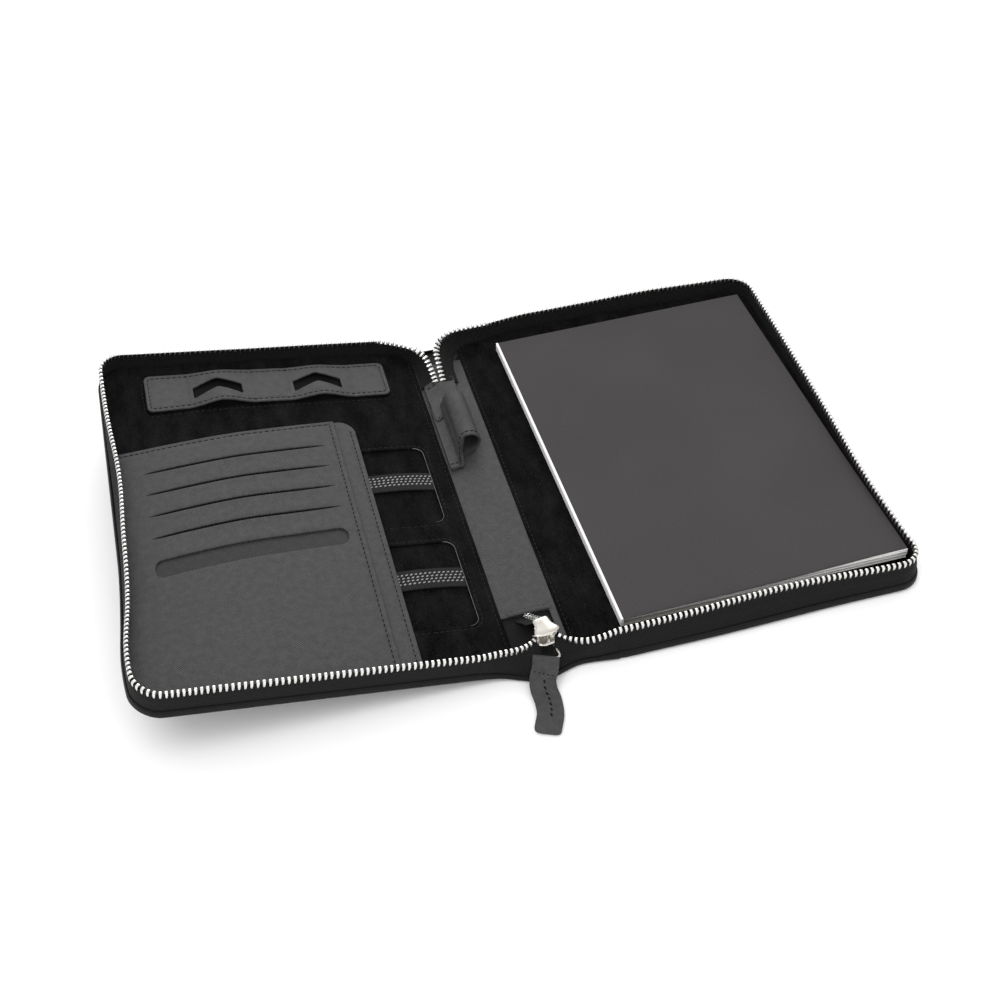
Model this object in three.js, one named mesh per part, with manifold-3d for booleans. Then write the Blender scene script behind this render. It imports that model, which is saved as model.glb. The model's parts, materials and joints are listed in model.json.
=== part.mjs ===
// A zip-round portfolio case for an A5 writing pad, lying open.
// Units are millimetres. +Z is up, +Y runs along the spine to the rear, +X points to the pad half.
// The origin is the middle of the spine's underside, which lies on the table.
// The pad half lies flat. The pocket half stays raised by REST_OPENING on its stiff new spine.

import * as THREE from "three";
import { mergeVertices } from "three/addons/utils/BufferGeometryUtils.js";
import Module from "manifold-3d";

const wasm = await Module();
wasm.setup();

// ---------------------------------------------------------------- driving dimensions
const HALF_WIDTH = 176; // hinge line to the outer edge of a cover
const DEPTH = 238; // front edge to rear edge
const CORNER_RADIUS = 15;
const SPINE_WIDTH = 32; // hinge line to hinge line
const REST_OPENING = (10 * Math.PI) / 180; // how far the pocket half stays raised at rest

const COVER_THICKNESS = 1.2;
const FOAM_THICKNESS = 0.8;
const BOARD_THICKNESS = 1.2;
const LINING_THICKNESS = 0.5;
const LAYER_GAP = 0.3; // left between any two pieces that touch
const FOLD_GAP = 0.9; // spine cover edge to hinge line, so that a folded half clears it
const INNER_START = 6; // hinge line to the inner layers of a half
const SPINE_BOARD_INSET = 2.6; // spine cover edge to its board
const SPINE_BOARD_SHORT = 7; // rear end of the cover to the board
const SPINE_LINING_INSET = 2.1;
const SPINE_LINING_SHORT = 4;

const BINDING_THICKNESS = 1;
const BINDING_HEIGHT = 3.6;
const TAPE_THICKNESS = 0.8;
const TOOTH_ROW_WIDTH = 2.6;
const TOOTH_ROW_HEIGHT = 3.2;
const MESH_GAP = 0.2; // each closed tooth row to the middle plane
const WALL_START = 18; // hinge line to where the straight zip wall begins
const WEB_REACH = 9.5; // spine middle to the end of each web, clear of a folded half
const WEB_FROM_END = 3.4;
const WEB_HEIGHT = 2.4;

const PANEL_THICKNESS = 0.7; // suede window panel, slip pocket and organiser backing
const LEATHER_THICKNESS = 0.9; // card panel and organiser strip
const LINER_THICKNESS = 0.4; // cloth behind each card slit
const ELASTIC_THICKNESS = 0.5;

const PAD_WIDTH = 148;
const PAD_LENGTH = 210;
const PAD_FROM_SPINE = 21; // hinge line to the bound edge of the pad
const BACKING_THICKNESS = 0.8;
const PAGES_THICKNESS = 2.8;
const PAD_COVER_THICKNESS = 0.3;
const BINDING_STRIP = 1.2;
const SLEEVE_DEPTH = 30; // how far the sleeve grips the backing

const STRIP_LENGTH = 132; // organiser strip
const STRIP_WIDTH = 27;
const STRIP_FROM_SPINE = 17.5;
const STRIP_MIDDLE_Y = 92;
const CHEVRON_SPAN = 26;
const CHEVRON_BAND = 8.5;
const CHEVRON_RISE = 5.5;
const CHEVRON_FROM_SPINE = [56.5, 110.5];

const SLIP_EDGE = 43; // hinge line to the slip pocket's open edge
const CARD_EDGE = 54.5; // hinge line to the card panel's edge
const POCKET_REAR = 54; // y of the pockets' rear edge in the middle
const POCKET_SLANT = (4.5 * Math.PI) / 180; // the card panel's slits and rear edge slant a little
const SLIT_LENGTH = 96;
const SLIT_WIDTH = 0.9;
const SLIT_PITCH = 15.2;
const SLIT_FIRST_Y = 35.7;
const SLIT_COUNT = 4;
const SLIT_MIDDLE = 109.5; // hinge line to the middle of the slits
const THUMB_HEIGHT = 11.5;
const THUMB_Y = -30.5;

const WINDOW_FROM_SPINE = 10;
const WINDOW_WIDTH = 40;
const WINDOW_LENGTH = 56;
const WINDOW_MIDDLE_Y = [7.5, -62.5];
const WINDOW_RADIUS = 5;
const ELASTIC_WIDTH = 12.5;
const ELASTIC_MIDDLE_Y = [10, -58.5];

const PEN_DIAMETER = 10.4;
const PEN_LOOP_WALL = 1.2;
const PEN_LOOP_X = 0.5;
const PEN_LOOP_FRONT = 22;
const PEN_LOOP_LENGTH = 44;
const PEN_FLAP_WIDTH = 8;

const PATCH_WIDTH = 21;
const PATCH_X = -2.5;
const PATCH_FROM_REAR = 31; // rear edge of the cover to the patch over the zip's end
const PATCH_LENGTH = 21;
const NOTCH_WIDTH = 19.5; // opening in the spine lining for the zip's tail
const NOTCH_DEPTH = 32.3; // from the front edge of the cover

const CHAIN_WIDTH = 6.4;
const CHAIN_THICKNESS = 3;
const TAIL_GAP = 5.5; // slider to the closed zip behind it
const TAIL_RISE = 2.6;
const HEAD_FROM_END = 6;
const HEAD_BELOW_TEETH = 1;
const SLIDER_LENGTH = 15;
const SLIDER_FROM_EDGE = 6.5; // front edge of the cover to the slider
const SLIDER_WIDE = 12.6;
const SLIDER_NARROW = 9.4;
const SLIDER_PLATE = 1.2;
const SLIDER_UNDERSIDE = 10.4;
const SLIDER_THROAT = 4.8; // space between the slider's plates
const LUG_WALL = 1.1;
const RING_WIRE = 1.3;
const RING_SIDE_PLAY = 0.7; // tab edge to the ring's side wires
const RING_REACH = 9.8; // from the lug's bar to the bar that carries the tab
const RING_PLAY = 0.4;
const TAB_WIDTH = 12.5;
const TAB_THICKNESS = 1.6;
const TAB_REACH = 34; // ring bar to the end of the tab, measured along the table
const TABLE_CLEARANCE = 0.2;

// ---------------------------------------------------------------- worked-out levels
const HALF_SPINE = SPINE_WIDTH / 2;
const HALF_DEPTH = DEPTH / 2;
const PATCH_REAR = HALF_DEPTH - PATCH_FROM_REAR;
const PATCH_FRONT = PATCH_REAR - PATCH_LENGTH;
const NOTCH_REAR = NOTCH_DEPTH - HALF_DEPTH;
const SLIDER_FRONT = SLIDER_FROM_EDGE - HALF_DEPTH;
const HINGE_Z = COVER_THICKNESS / 2;
const FOAM_Z = COVER_THICKNESS + LAYER_GAP;
const BOARD_Z = FOAM_Z + FOAM_THICKNESS + LAYER_GAP;
const LINING_Z = BOARD_Z + BOARD_THICKNESS + LAYER_GAP;
const LINING_TOP = LINING_Z + LINING_THICKNESS;
const TOOTH_TOP = HINGE_Z + HALF_SPINE - MESH_GAP;
const TOOTH_Z = TOOTH_TOP - TOOTH_ROW_HEIGHT;
const ELASTIC_Z = LINING_TOP + LAYER_GAP;
const PANEL_Z = ELASTIC_Z + ELASTIC_THICKNESS + LAYER_GAP;
const SLIP_Z = PANEL_Z + PANEL_THICKNESS + LAYER_GAP;
const LINER_Z = SLIP_Z + PANEL_THICKNESS + LAYER_GAP;
const CARD_Z = LINER_Z + LINER_THICKNESS + LAYER_GAP;
const WALL_INSET = BINDING_THICKNESS + LAYER_GAP; // outer edge to the tape
const LAYER_INSET = WALL_INSET + TAPE_THICKNESS + LAYER_GAP; // outer edge to the inner layers
const TOOTH_INSET = WALL_INSET + TAPE_THICKNESS / 2 - TOOTH_ROW_WIDTH / 2;

// ---------------------------------------------------------------- materials
const finish = (color, roughness, metalness = 0) => () =>
  new THREE.MeshStandardMaterial({ color, roughness, metalness });
const leather = finish(0x4b4a4b, 0.62);
const darkLeather = finish(0x2c2b2d, 0.66);
const suede = finish(0x141315, 0.97);
const cloth = finish(0x1b1a1c, 0.9);
const tapeCloth = finish(0x121113, 0.85);
const elastic = finish(0x3a393b, 0.85);
const steel = finish(0xc9c6c1, 0.28, 1);
const greyBoard = finish(0x8a8781, 0.95);
const foam = finish(0x3b3b3b, 0.98);
const paper = finish(0xf2f0ec, 0.9);
const card = finish(0x4b484a, 0.85);

// ---------------------------------------------------------------- helpers
const root = new THREE.Group();
const rightHalf = new THREE.Group();
const leftHalf = new THREE.Group();
leftHalf.position.set(-HALF_SPINE, 0, HINGE_Z);
leftHalf.rotation.y = REST_OPENING;
root.add(leftHalf, rightHalf);

// Each half is drawn as it lies flat. The pocket half's group turns about its hinge line.
const SIDES = {
  left: { sign: -1, group: leftHalf, shift: HALF_SPINE, lower: HINGE_Z },
  right: { sign: 1, group: rightHalf, shift: 0, lower: 0 },
};

function addMesh(parent, name, geometry, material) {
  const mesh = new THREE.Mesh(geometry, material());
  mesh.name = name;
  parent.add(mesh);
  return mesh;
}

// x on the table of a point that lies `distance` from a half's hinge line
function acrossHalf(side, distance) {
  return side.sign * (HALF_SPINE + distance);
}

function addToHalf(side, name, geometry, material) {
  geometry.translate(side.shift, 0, -side.lower);
  return addMesh(side.group, name, geometry, material);
}

function extrudeUp(shape, bottom, height, curveSegments = 5) {
  const geometry = new THREE.ExtrudeGeometry(shape, {
    depth: height,
    bevelEnabled: false,
    curveSegments,
  });
  return geometry.translate(0, 0, bottom);
}

// A profile drawn in (y, z) and extruded along X, centred on x = 0
function extrudeAcross(profile, width, curveSegments = 5) {
  const geometry = new THREE.ExtrudeGeometry(profile, {
    depth: width,
    bevelEnabled: false,
    curveSegments,
  });
  geometry.translate(0, 0, -width / 2);
  geometry.applyMatrix4(new THREE.Matrix4().set(0, 0, 1, 0, 1, 0, 0, 0, 0, 1, 0, 0, 0, 0, 0, 1));
  return geometry;
}

// Points of a rectangle whose corners are rounded by the given radius
function roundedPath(path, x0, x1, y0, y1, radius) {
  path.moveTo(x0 + radius, y0);
  path.lineTo(x1 - radius, y0);
  path.absarc(x1 - radius, y0 + radius, radius, -Math.PI / 2, 0);
  path.lineTo(x1, y1 - radius);
  path.absarc(x1 - radius, y1 - radius, radius, 0, Math.PI / 2);
  path.lineTo(x0 + radius, y1);
  path.absarc(x0 + radius, y1 - radius, radius, Math.PI / 2, Math.PI);
  path.lineTo(x0, y0 + radius);
  path.absarc(x0 + radius, y0 + radius, radius, Math.PI, 1.5 * Math.PI);
  return path;
}

function rectangle(x0, x1, y0, y1) {
  const shape = new THREE.Shape();
  shape.moveTo(x0, y0);
  shape.lineTo(x1, y0);
  shape.lineTo(x1, y1);
  shape.lineTo(x0, y1);
  shape.closePath();
  return shape;
}

function box(x0, x1, y0, y1, z0, z1) {
  return extrudeUp(rectangle(x0, x1, y0, y1), z0, z1 - z0);
}

// Outline of a half's layer: square at the spine, rounded at the two outer corners
function halfOutline(side, start, inset) {
  const radius = CORNER_RADIUS - inset;
  const y = HALF_DEPTH - inset;
  const near = acrossHalf(side, start);
  const bend = acrossHalf(side, HALF_WIDTH - inset - radius);
  const clockwise = side.sign < 0;
  const shape = new THREE.Shape();
  shape.moveTo(near, -y);
  shape.lineTo(bend, -y);
  const quarter = Math.PI / 2;
  const outward = clockwise ? Math.PI : 0;
  shape.absarc(bend, -y + radius, radius, -quarter, clockwise ? -Math.PI : 0, clockwise);
  shape.absarc(bend, y - radius, radius, outward, quarter, clockwise);
  shape.lineTo(near, y);
  shape.closePath();
  return shape;
}

// A band of even width that follows the three outer edges of a half
function edgeBand(side, start, inset, width) {
  const outer = halfOutline(side, start, inset).getPoints(6);
  const inner = halfOutline(side, start, inset + width).getPoints(6);
  const open = (points) => points.filter((p, i) => i === 0 || !p.equals(points[0]));
  return new THREE.Shape([...open(outer), ...open(inner).reverse()]);
}

function solid(geometry) {
  const plain = geometry.index ? geometry.toNonIndexed() : geometry.clone();
  plain.deleteAttribute("normal");
  plain.deleteAttribute("uv");
  const merged = mergeVertices(plain, 1e-4);
  return new wasm.Manifold(
    new wasm.Mesh({
      numProp: 3,
      vertProperties: new Float32Array(merged.attributes.position.array),
      triVerts: new Uint32Array(merged.index.array),
    }),
  );
}

function fromSolid(body) {
  const mesh = body.getMesh();
  const geometry = new THREE.BufferGeometry();
  geometry.setAttribute("position", new THREE.BufferAttribute(mesh.vertProperties, 3));
  geometry.setIndex(new THREE.BufferAttribute(mesh.triVerts, 1));
  const flat = geometry.toNonIndexed();
  flat.computeVertexNormals();
  return flat;
}

function joined(...geometries) {
  return fromSolid(geometries.map(solid).reduce((sum, next) => sum.add(next)));
}

function cutFrom(geometry, ...tools) {
  return fromSolid(tools.map(solid).reduce((left, tool) => left.subtract(tool), solid(geometry)));
}

// ---------------------------------------------------------------- shell of one half
function addShell(name, side) {
  const cover = halfOutline(side, LAYER_GAP, 0);
  addToHalf(side, `${name}_cover`, extrudeUp(cover, 0, COVER_THICKNESS), darkLeather);

  const layer = halfOutline(side, INNER_START, LAYER_INSET);
  addToHalf(side, `${name}_foam`, extrudeUp(layer, FOAM_Z, FOAM_THICKNESS), foam);
  addToHalf(side, `${name}_board`, extrudeUp(layer, BOARD_Z, BOARD_THICKNESS), greyBoard);
  addToHalf(side, `${name}_lining`, extrudeUp(layer, LINING_Z, LINING_THICKNESS), suede);

  const binding = edgeBand(side, WALL_START, 0, BINDING_THICKNESS);
  addToHalf(side, `${name}_binding`, extrudeUp(binding, FOAM_Z, BINDING_HEIGHT), darkLeather);

  const tape = edgeBand(side, WALL_START, WALL_INSET, TAPE_THICKNESS);
  const tapeHeight = TOOTH_Z - LAYER_GAP - FOAM_Z;
  addToHalf(side, `${name}_zip_tape`, extrudeUp(tape, FOAM_Z, tapeHeight), tapeCloth);

  const row = edgeBand(side, WALL_START, TOOTH_INSET, TOOTH_ROW_WIDTH);
  addToHalf(side, `${name}_zip_teeth`, extrudeUp(row, TOOTH_Z, TOOTH_ROW_HEIGHT), steel);
}

// ---------------------------------------------------------------- spine
function addSpine() {
  const coverEdge = HALF_SPINE - FOLD_GAP;
  addMesh(
    root,
    "spine_cover",
    box(-coverEdge, coverEdge, -HALF_DEPTH, HALF_DEPTH, 0, COVER_THICKNESS),
    darkLeather,
  );

  const boardEdge = coverEdge - SPINE_BOARD_INSET;
  const boardEnd = HALF_DEPTH - SPINE_BOARD_SHORT;
  const boardTop = FOAM_Z + BOARD_THICKNESS;
  addMesh(
    root,
    "spine_board",
    box(-boardEdge, boardEdge, NOTCH_REAR, boardEnd, FOAM_Z, boardTop),
    greyBoard,
  );

  const liningEdge = coverEdge - SPINE_LINING_INSET;
  const liningEnd = HALF_DEPTH - SPINE_LINING_SHORT;
  const liningZ = boardTop + LAYER_GAP;
  const liningTop = liningZ + LEATHER_THICKNESS;
  const notch = NOTCH_WIDTH / 2;
  const lining = new THREE.Shape();
  lining.moveTo(-liningEdge, -liningEnd);
  lining.lineTo(-notch, -liningEnd);
  lining.lineTo(-notch, NOTCH_REAR);
  lining.lineTo(notch, NOTCH_REAR);
  lining.lineTo(notch, -liningEnd);
  lining.lineTo(liningEdge, -liningEnd);
  lining.lineTo(liningEdge, liningEnd);
  lining.lineTo(-liningEdge, liningEnd);
  lining.closePath();
  addMesh(root, "spine_lining", extrudeUp(lining, liningZ, LEATHER_THICKNESS), leather);

  const trimZ = liningTop + LAYER_GAP;
  const trimDepth = 3;
  addMesh(
    root,
    "notch_trim",
    box(-notch, notch, NOTCH_REAR, NOTCH_REAR + trimDepth, trimZ, trimZ + LEATHER_THICKNESS),
    leather,
  );
  return trimZ;
}

// Tape web that closes the spine's end between the two zip walls
function addEndWeb(name, sign, bottom) {
  const y = sign * (HALF_DEPTH - WEB_FROM_END);
  const half = TAPE_THICKNESS / 2;
  const web = box(-WEB_REACH, WEB_REACH, y - half, y + half, bottom, bottom + WEB_HEIGHT);
  addMesh(root, name, web, tapeCloth);
}

// A sloping bar of closed zip between two points of the Y-Z plane
function chainBar(y0, z0, y1, z1) {
  const profile = new THREE.Shape();
  profile.moveTo(y0, z0);
  profile.lineTo(y1, z1);
  profile.lineTo(y1, z1 + CHAIN_THICKNESS);
  profile.lineTo(y0, z0 + CHAIN_THICKNESS);
  profile.closePath();
  return extrudeAcross(profile, CHAIN_WIDTH);
}

function addZipEnds(surface) {
  const chainSink = NOTCH_REAR - LAYER_GAP;
  const sliderRear = SLIDER_FRONT + SLIDER_LENGTH;
  const front = sliderRear + TAIL_GAP + LAYER_GAP;
  addMesh(root, "zip_tail", chainBar(front, FOAM_Z + TAIL_RISE, chainSink, FOAM_Z), steel);

  const patchEnd = PATCH_REAR + LAYER_GAP;
  const headRear = HALF_DEPTH - HEAD_FROM_END;
  const headTop = TOOTH_Z - HEAD_BELOW_TEETH;
  addMesh(root, "zip_head", chainBar(patchEnd, surface, headRear, headTop), steel);

  // the patch covers the end of the zip and tucks under the pen loop's flap
  const x0 = PATCH_X - PATCH_WIDTH / 2;
  const x1 = PATCH_X + PATCH_WIDTH / 2;
  const patch = box(x0, x1, PATCH_FRONT, PATCH_REAR, surface, surface + LEATHER_THICKNESS);
  addMesh(root, "zip_end_patch", patch, leather);
}

// ---------------------------------------------------------------- pen loop
function addPenLoop(surface) {
  const inner = PEN_DIAMETER / 2;
  const outer = inner + PEN_LOOP_WALL;
  const tube = new THREE.Shape();
  tube.absarc(0, outer, outer, 0, 2 * Math.PI);
  const bore = new THREE.Path();
  bore.absarc(0, outer, inner, 0, 2 * Math.PI, true);
  tube.holes.push(bore);
  const sleeve = new THREE.ExtrudeGeometry(tube, {
    depth: PEN_LOOP_LENGTH,
    bevelEnabled: false,
    curveSegments: 14,
  });
  const flap = new THREE.BoxGeometry(PEN_FLAP_WIDTH, PEN_LOOP_WALL, PEN_LOOP_LENGTH);
  flap.translate(-outer * 0.35 - PEN_FLAP_WIDTH / 2, PEN_LOOP_WALL / 2, PEN_LOOP_LENGTH / 2);
  const loop = joined(sleeve, flap);
  loop.rotateX(Math.PI / 2);
  loop.translate(PEN_LOOP_X, PEN_LOOP_FRONT + PEN_LOOP_LENGTH, surface);
  addMesh(root, "pen_loop", loop, leather);
}

// ---------------------------------------------------------------- pocket half
// A straight line across the pockets, slanted about the middle of the slits
function slanted(distance, y) {
  return y - (distance - SLIT_MIDDLE) * Math.tan(POCKET_SLANT);
}

function slantedBand(side, from, to, y0, y1) {
  const corner = (distance, y) => new THREE.Vector2(acrossHalf(side, distance), slanted(distance, y));
  return [corner(from, y0), corner(to, y0), corner(to, y1), corner(from, y1)];
}

function pocketOutline(side, edge, inset) {
  const far = HALF_WIDTH - LAYER_INSET - inset;
  const front = -(HALF_DEPTH - LAYER_INSET - inset);
  const turn = CORNER_RADIUS - LAYER_INSET - inset;
  const clockwise = side.sign < 0;
  const outward = clockwise ? -Math.PI : 0;
  const shape = new THREE.Shape();
  shape.moveTo(acrossHalf(side, edge), front);
  shape.lineTo(acrossHalf(side, far - turn), front);
  shape.absarc(acrossHalf(side, far - turn), front + turn, turn, -Math.PI / 2, outward, clockwise);
  shape.lineTo(acrossHalf(side, far), slanted(far, POCKET_REAR - inset));
  shape.lineTo(acrossHalf(side, edge), slanted(edge, POCKET_REAR - inset));
  shape.closePath();
  return shape;
}

function thumbOpening(side) {
  const half = SLIT_LENGTH / 2;
  const rise = THUMB_HEIGHT / 2;
  const radius = 4;
  const upright = roundedPath(new THREE.Path(), -half, half, -rise, rise, radius).getPoints(4);
  const middle = new THREE.Vector2(acrossHalf(side, SLIT_MIDDLE), THUMB_Y);
  const turned = upright.slice(1).map((p) => {
    p.rotateAround(new THREE.Vector2(), -side.sign * POCKET_SLANT);
    return p.add(middle);
  });
  return new THREE.Shape(turned);
}

function addPockets(side) {
  const slip = pocketOutline(side, SLIP_EDGE, 0);
  addToHalf(side, "slip_pocket", extrudeUp(slip, SLIP_Z, PANEL_THICKNESS), leather);

  const panel = pocketOutline(side, CARD_EDGE, 1);
  const from = SLIT_MIDDLE - SLIT_LENGTH / 2;
  const to = SLIT_MIDDLE + SLIT_LENGTH / 2;
  const slitY = Array.from({ length: SLIT_COUNT }, (_, i) => SLIT_FIRST_Y - i * SLIT_PITCH);
  const slits = slitY.map((y) =>
    new THREE.Shape(slantedBand(side, from, to, y - SLIT_WIDTH / 2, y + SLIT_WIDTH / 2)),
  );
  const cuts = [...slits, thumbOpening(side)].map((shape) =>
    extrudeUp(shape, CARD_Z - 1, LEATHER_THICKNESS + 2),
  );
  const uncut = extrudeUp(panel, CARD_Z, LEATHER_THICKNESS);
  addToHalf(side, "card_panel", cutFrom(uncut, ...cuts), leather);

  const margin = 3; // a liner is a little wider than its slit
  const lap = 1.5; // and starts this far behind it
  slitY.forEach((y, i) => {
    const band = slantedBand(side, from - margin, to + margin, y + lap - SLIT_PITCH + LAYER_GAP, y + lap);
    const liner = extrudeUp(new THREE.Shape(band), LINER_Z, LINER_THICKNESS);
    addToHalf(side, `card_liner_${i + 1}`, liner, cloth);
  });
  const noteTop = slitY.at(-1) + lap - SLIT_PITCH; // where the last card liner ends
  const noteLength = 60;
  const note = slantedBand(side, from - margin, to + margin, noteTop - noteLength, noteTop);
  const noteLiner = extrudeUp(new THREE.Shape(note), LINER_Z, LINER_THICKNESS);
  addToHalf(side, "note_liner", noteLiner, darkLeather);
}

function addWindows(side) {
  const panel = halfOutline(side, INNER_START, LAYER_INSET);
  const near = acrossHalf(side, WINDOW_FROM_SPINE);
  const far = acrossHalf(side, WINDOW_FROM_SPINE + WINDOW_WIDTH);
  for (const y of WINDOW_MIDDLE_Y) {
    const low = Math.min(near, far);
    const high = Math.max(near, far);
    const half = WINDOW_LENGTH / 2;
    panel.holes.push(roundedPath(new THREE.Path(), low, high, y - half, y + half, WINDOW_RADIUS));
  }
  addToHalf(side, "window_panel", extrudeUp(panel, PANEL_Z, PANEL_THICKNESS), suede);

  const hold = 2; // each elastic runs this far under the panel
  const names = ["elastic_rear", "elastic_front"];
  ELASTIC_MIDDLE_Y.forEach((y, i) => {
    const x0 = acrossHalf(side, WINDOW_FROM_SPINE - hold);
    const x1 = acrossHalf(side, WINDOW_FROM_SPINE + WINDOW_WIDTH + hold);
    const band = rectangle(x0, x1, y - ELASTIC_WIDTH / 2, y + ELASTIC_WIDTH / 2);
    addToHalf(side, names[i], extrudeUp(band, ELASTIC_Z, ELASTIC_THICKNESS), elastic);
  });
}

function chevron(side, middle) {
  const half = CHEVRON_SPAN / 2;
  const y = STRIP_MIDDLE_Y;
  const top = y + CHEVRON_BAND / 2;
  const bottom = y - CHEVRON_BAND / 2;
  const point = (offset, height) => new THREE.Vector2(acrossHalf(side, middle + offset), height);
  return new THREE.Path([
    point(-half, bottom - CHEVRON_RISE / 2),
    point(0, bottom + CHEVRON_RISE / 2),
    point(half, bottom - CHEVRON_RISE / 2),
    point(half, top - CHEVRON_RISE / 2),
    point(0, top + CHEVRON_RISE / 2),
    point(-half, top - CHEVRON_RISE / 2),
  ]);
}

function addOrganiser(side) {
  const x = [acrossHalf(side, STRIP_FROM_SPINE), acrossHalf(side, STRIP_FROM_SPINE + STRIP_LENGTH)];
  const low = Math.min(...x);
  const high = Math.max(...x);
  const y0 = STRIP_MIDDLE_Y - STRIP_WIDTH / 2;
  const y1 = STRIP_MIDDLE_Y + STRIP_WIDTH / 2;
  const radius = 3;

  const inset = 1;
  const backing = new THREE.Shape();
  roundedPath(backing, low + inset, high - inset, y0 + inset, y1 - inset, radius);
  addToHalf(side, "organiser_backing", extrudeUp(backing, SLIP_Z, PANEL_THICKNESS), cloth);

  const strip = new THREE.Shape();
  roundedPath(strip, low, high, y0, y1, radius);
  for (const middle of CHEVRON_FROM_SPINE) strip.holes.push(chevron(side, middle));
  const stripZ = SLIP_Z + PANEL_THICKNESS + LAYER_GAP;
  addToHalf(side, "organiser_strip", extrudeUp(strip, stripZ, LEATHER_THICKNESS), leather);
}

// ---------------------------------------------------------------- writing pad
function addPad(side) {
  const near = acrossHalf(side, PAD_FROM_SPINE);
  const far = near + PAD_WIDTH;
  const y = PAD_LENGTH / 2;
  const backingZ = LINING_TOP + LAYER_GAP;
  const backingTop = backingZ + BACKING_THICKNESS;
  const sleeveZ = backingTop + LAYER_GAP;
  const sleeveTop = sleeveZ + LINING_THICKNESS;
  const pagesZ = sleeveTop + LAYER_GAP;
  const pagesTop = pagesZ + PAGES_THICKNESS;
  const bound = near + BINDING_STRIP;

  const backing = box(bound + LAYER_GAP, far, -y, y, backingZ, backingTop);
  addToHalf(side, "pad_backing", backing, greyBoard);
  const binding = box(near, bound, -y, y, backingZ, pagesTop);
  addToHalf(side, "pad_binding", binding, paper);
  const pages = box(bound + LAYER_GAP, far, -y, y, pagesZ, pagesTop);
  addToHalf(side, "pad_pages", pages, paper);
  const coverZ = pagesTop + LAYER_GAP;
  const cover = box(near + LAYER_GAP, far, -y, y, coverZ, coverZ + PAD_COVER_THICKNESS);
  addToHalf(side, "pad_cover", cover, card);

  const sleeveFar = acrossHalf(side, HALF_WIDTH - LAYER_INSET - 1.5);
  const sleeve = box(far - SLEEVE_DEPTH, sleeveFar, -y + 2, y - 2, sleeveZ, sleeveTop);
  addToHalf(side, "pad_sleeve", sleeve, suede);
}

// ---------------------------------------------------------------- slider, ring and pull tab
function sliderPlate(bottom) {
  const front = SLIDER_FRONT;
  const rear = SLIDER_FRONT + SLIDER_LENGTH;
  const wide = SLIDER_WIDE / 2;
  const narrow = SLIDER_NARROW / 2;
  const shape = new THREE.Shape();
  shape.moveTo(0, front);
  shape.quadraticCurveTo(wide * 0.5, front, wide, front + 2.5);
  shape.quadraticCurveTo(wide * 1.05, front + 6, narrow, front + 8.5);
  shape.lineTo(narrow, rear - 1.5);
  shape.quadraticCurveTo(narrow, rear, narrow - 1.5, rear);
  shape.lineTo(1.5 - narrow, rear);
  shape.quadraticCurveTo(-narrow, rear, -narrow, rear - 1.5);
  shape.lineTo(-narrow, front + 8.5);
  shape.quadraticCurveTo(-wide * 1.05, front + 6, -wide, front + 2.5);
  shape.quadraticCurveTo(-wide * 0.5, front, 0, front);
  return extrudeUp(shape, bottom, SLIDER_PLATE);
}

function addSlider() {
  const bottomTop = SLIDER_UNDERSIDE + SLIDER_PLATE;
  const topZ = bottomTop + SLIDER_THROAT;
  const sink = SLIDER_PLATE / 2;
  const post = new THREE.Shape();
  post.moveTo(0, SLIDER_FRONT + 0.6);
  post.lineTo(1.7, SLIDER_FRONT + 3);
  post.lineTo(0, SLIDER_FRONT + 7.5);
  post.lineTo(-1.7, SLIDER_FRONT + 3);
  post.closePath();
  const postSolid = extrudeUp(post, bottomTop - sink, SLIDER_THROAT + 2 * sink);
  const body = joined(sliderPlate(SLIDER_UNDERSIDE), sliderPlate(topZ), postSolid);
  addMesh(root, "zip_slider", body, steel);

  // The lug is an arch below the slider; the ring's rear bar runs through it.
  const space = RING_WIRE / 2 + RING_PLAY;
  const barY = SLIDER_FRONT + 2.6;
  const barZ = SLIDER_UNDERSIDE - LAYER_GAP - space;
  const arch = new THREE.Shape();
  arch.moveTo(barY - space - LUG_WALL, barZ + space);
  arch.lineTo(barY - space - LUG_WALL, barZ - space - LUG_WALL);
  arch.lineTo(barY + space + LUG_WALL, barZ - space - LUG_WALL);
  arch.lineTo(barY + space + LUG_WALL, barZ + space);
  arch.lineTo(barY + space, barZ + space);
  arch.lineTo(barY + space, barZ - space);
  arch.lineTo(barY - space, barZ - space);
  arch.lineTo(barY - space, barZ + space);
  arch.closePath();
  addMesh(root, "slider_lug", extrudeAcross(arch, 3.2), steel);
  return { y: barY, z: barZ };
}

function addRing(bar) {
  const wire = RING_WIRE / 2;
  const half = TAB_WIDTH / 2 + RING_SIDE_PLAY + RING_WIRE;
  const bend = RING_SIDE_PLAY - 0.2;
  const ring = new THREE.Shape();
  roundedPath(ring, -half, half, -RING_REACH - wire, wire, bend + RING_WIRE);
  const eye = new THREE.Path();
  roundedPath(eye, -half + RING_WIRE, half - RING_WIRE, -RING_REACH + wire, -wire, bend);
  ring.holes.push(eye);
  const mesh = addMesh(root, "pull_ring", extrudeUp(ring, -wire, RING_WIRE, 4), steel);
  mesh.position.set(0, bar.y, bar.z);
}

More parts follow.
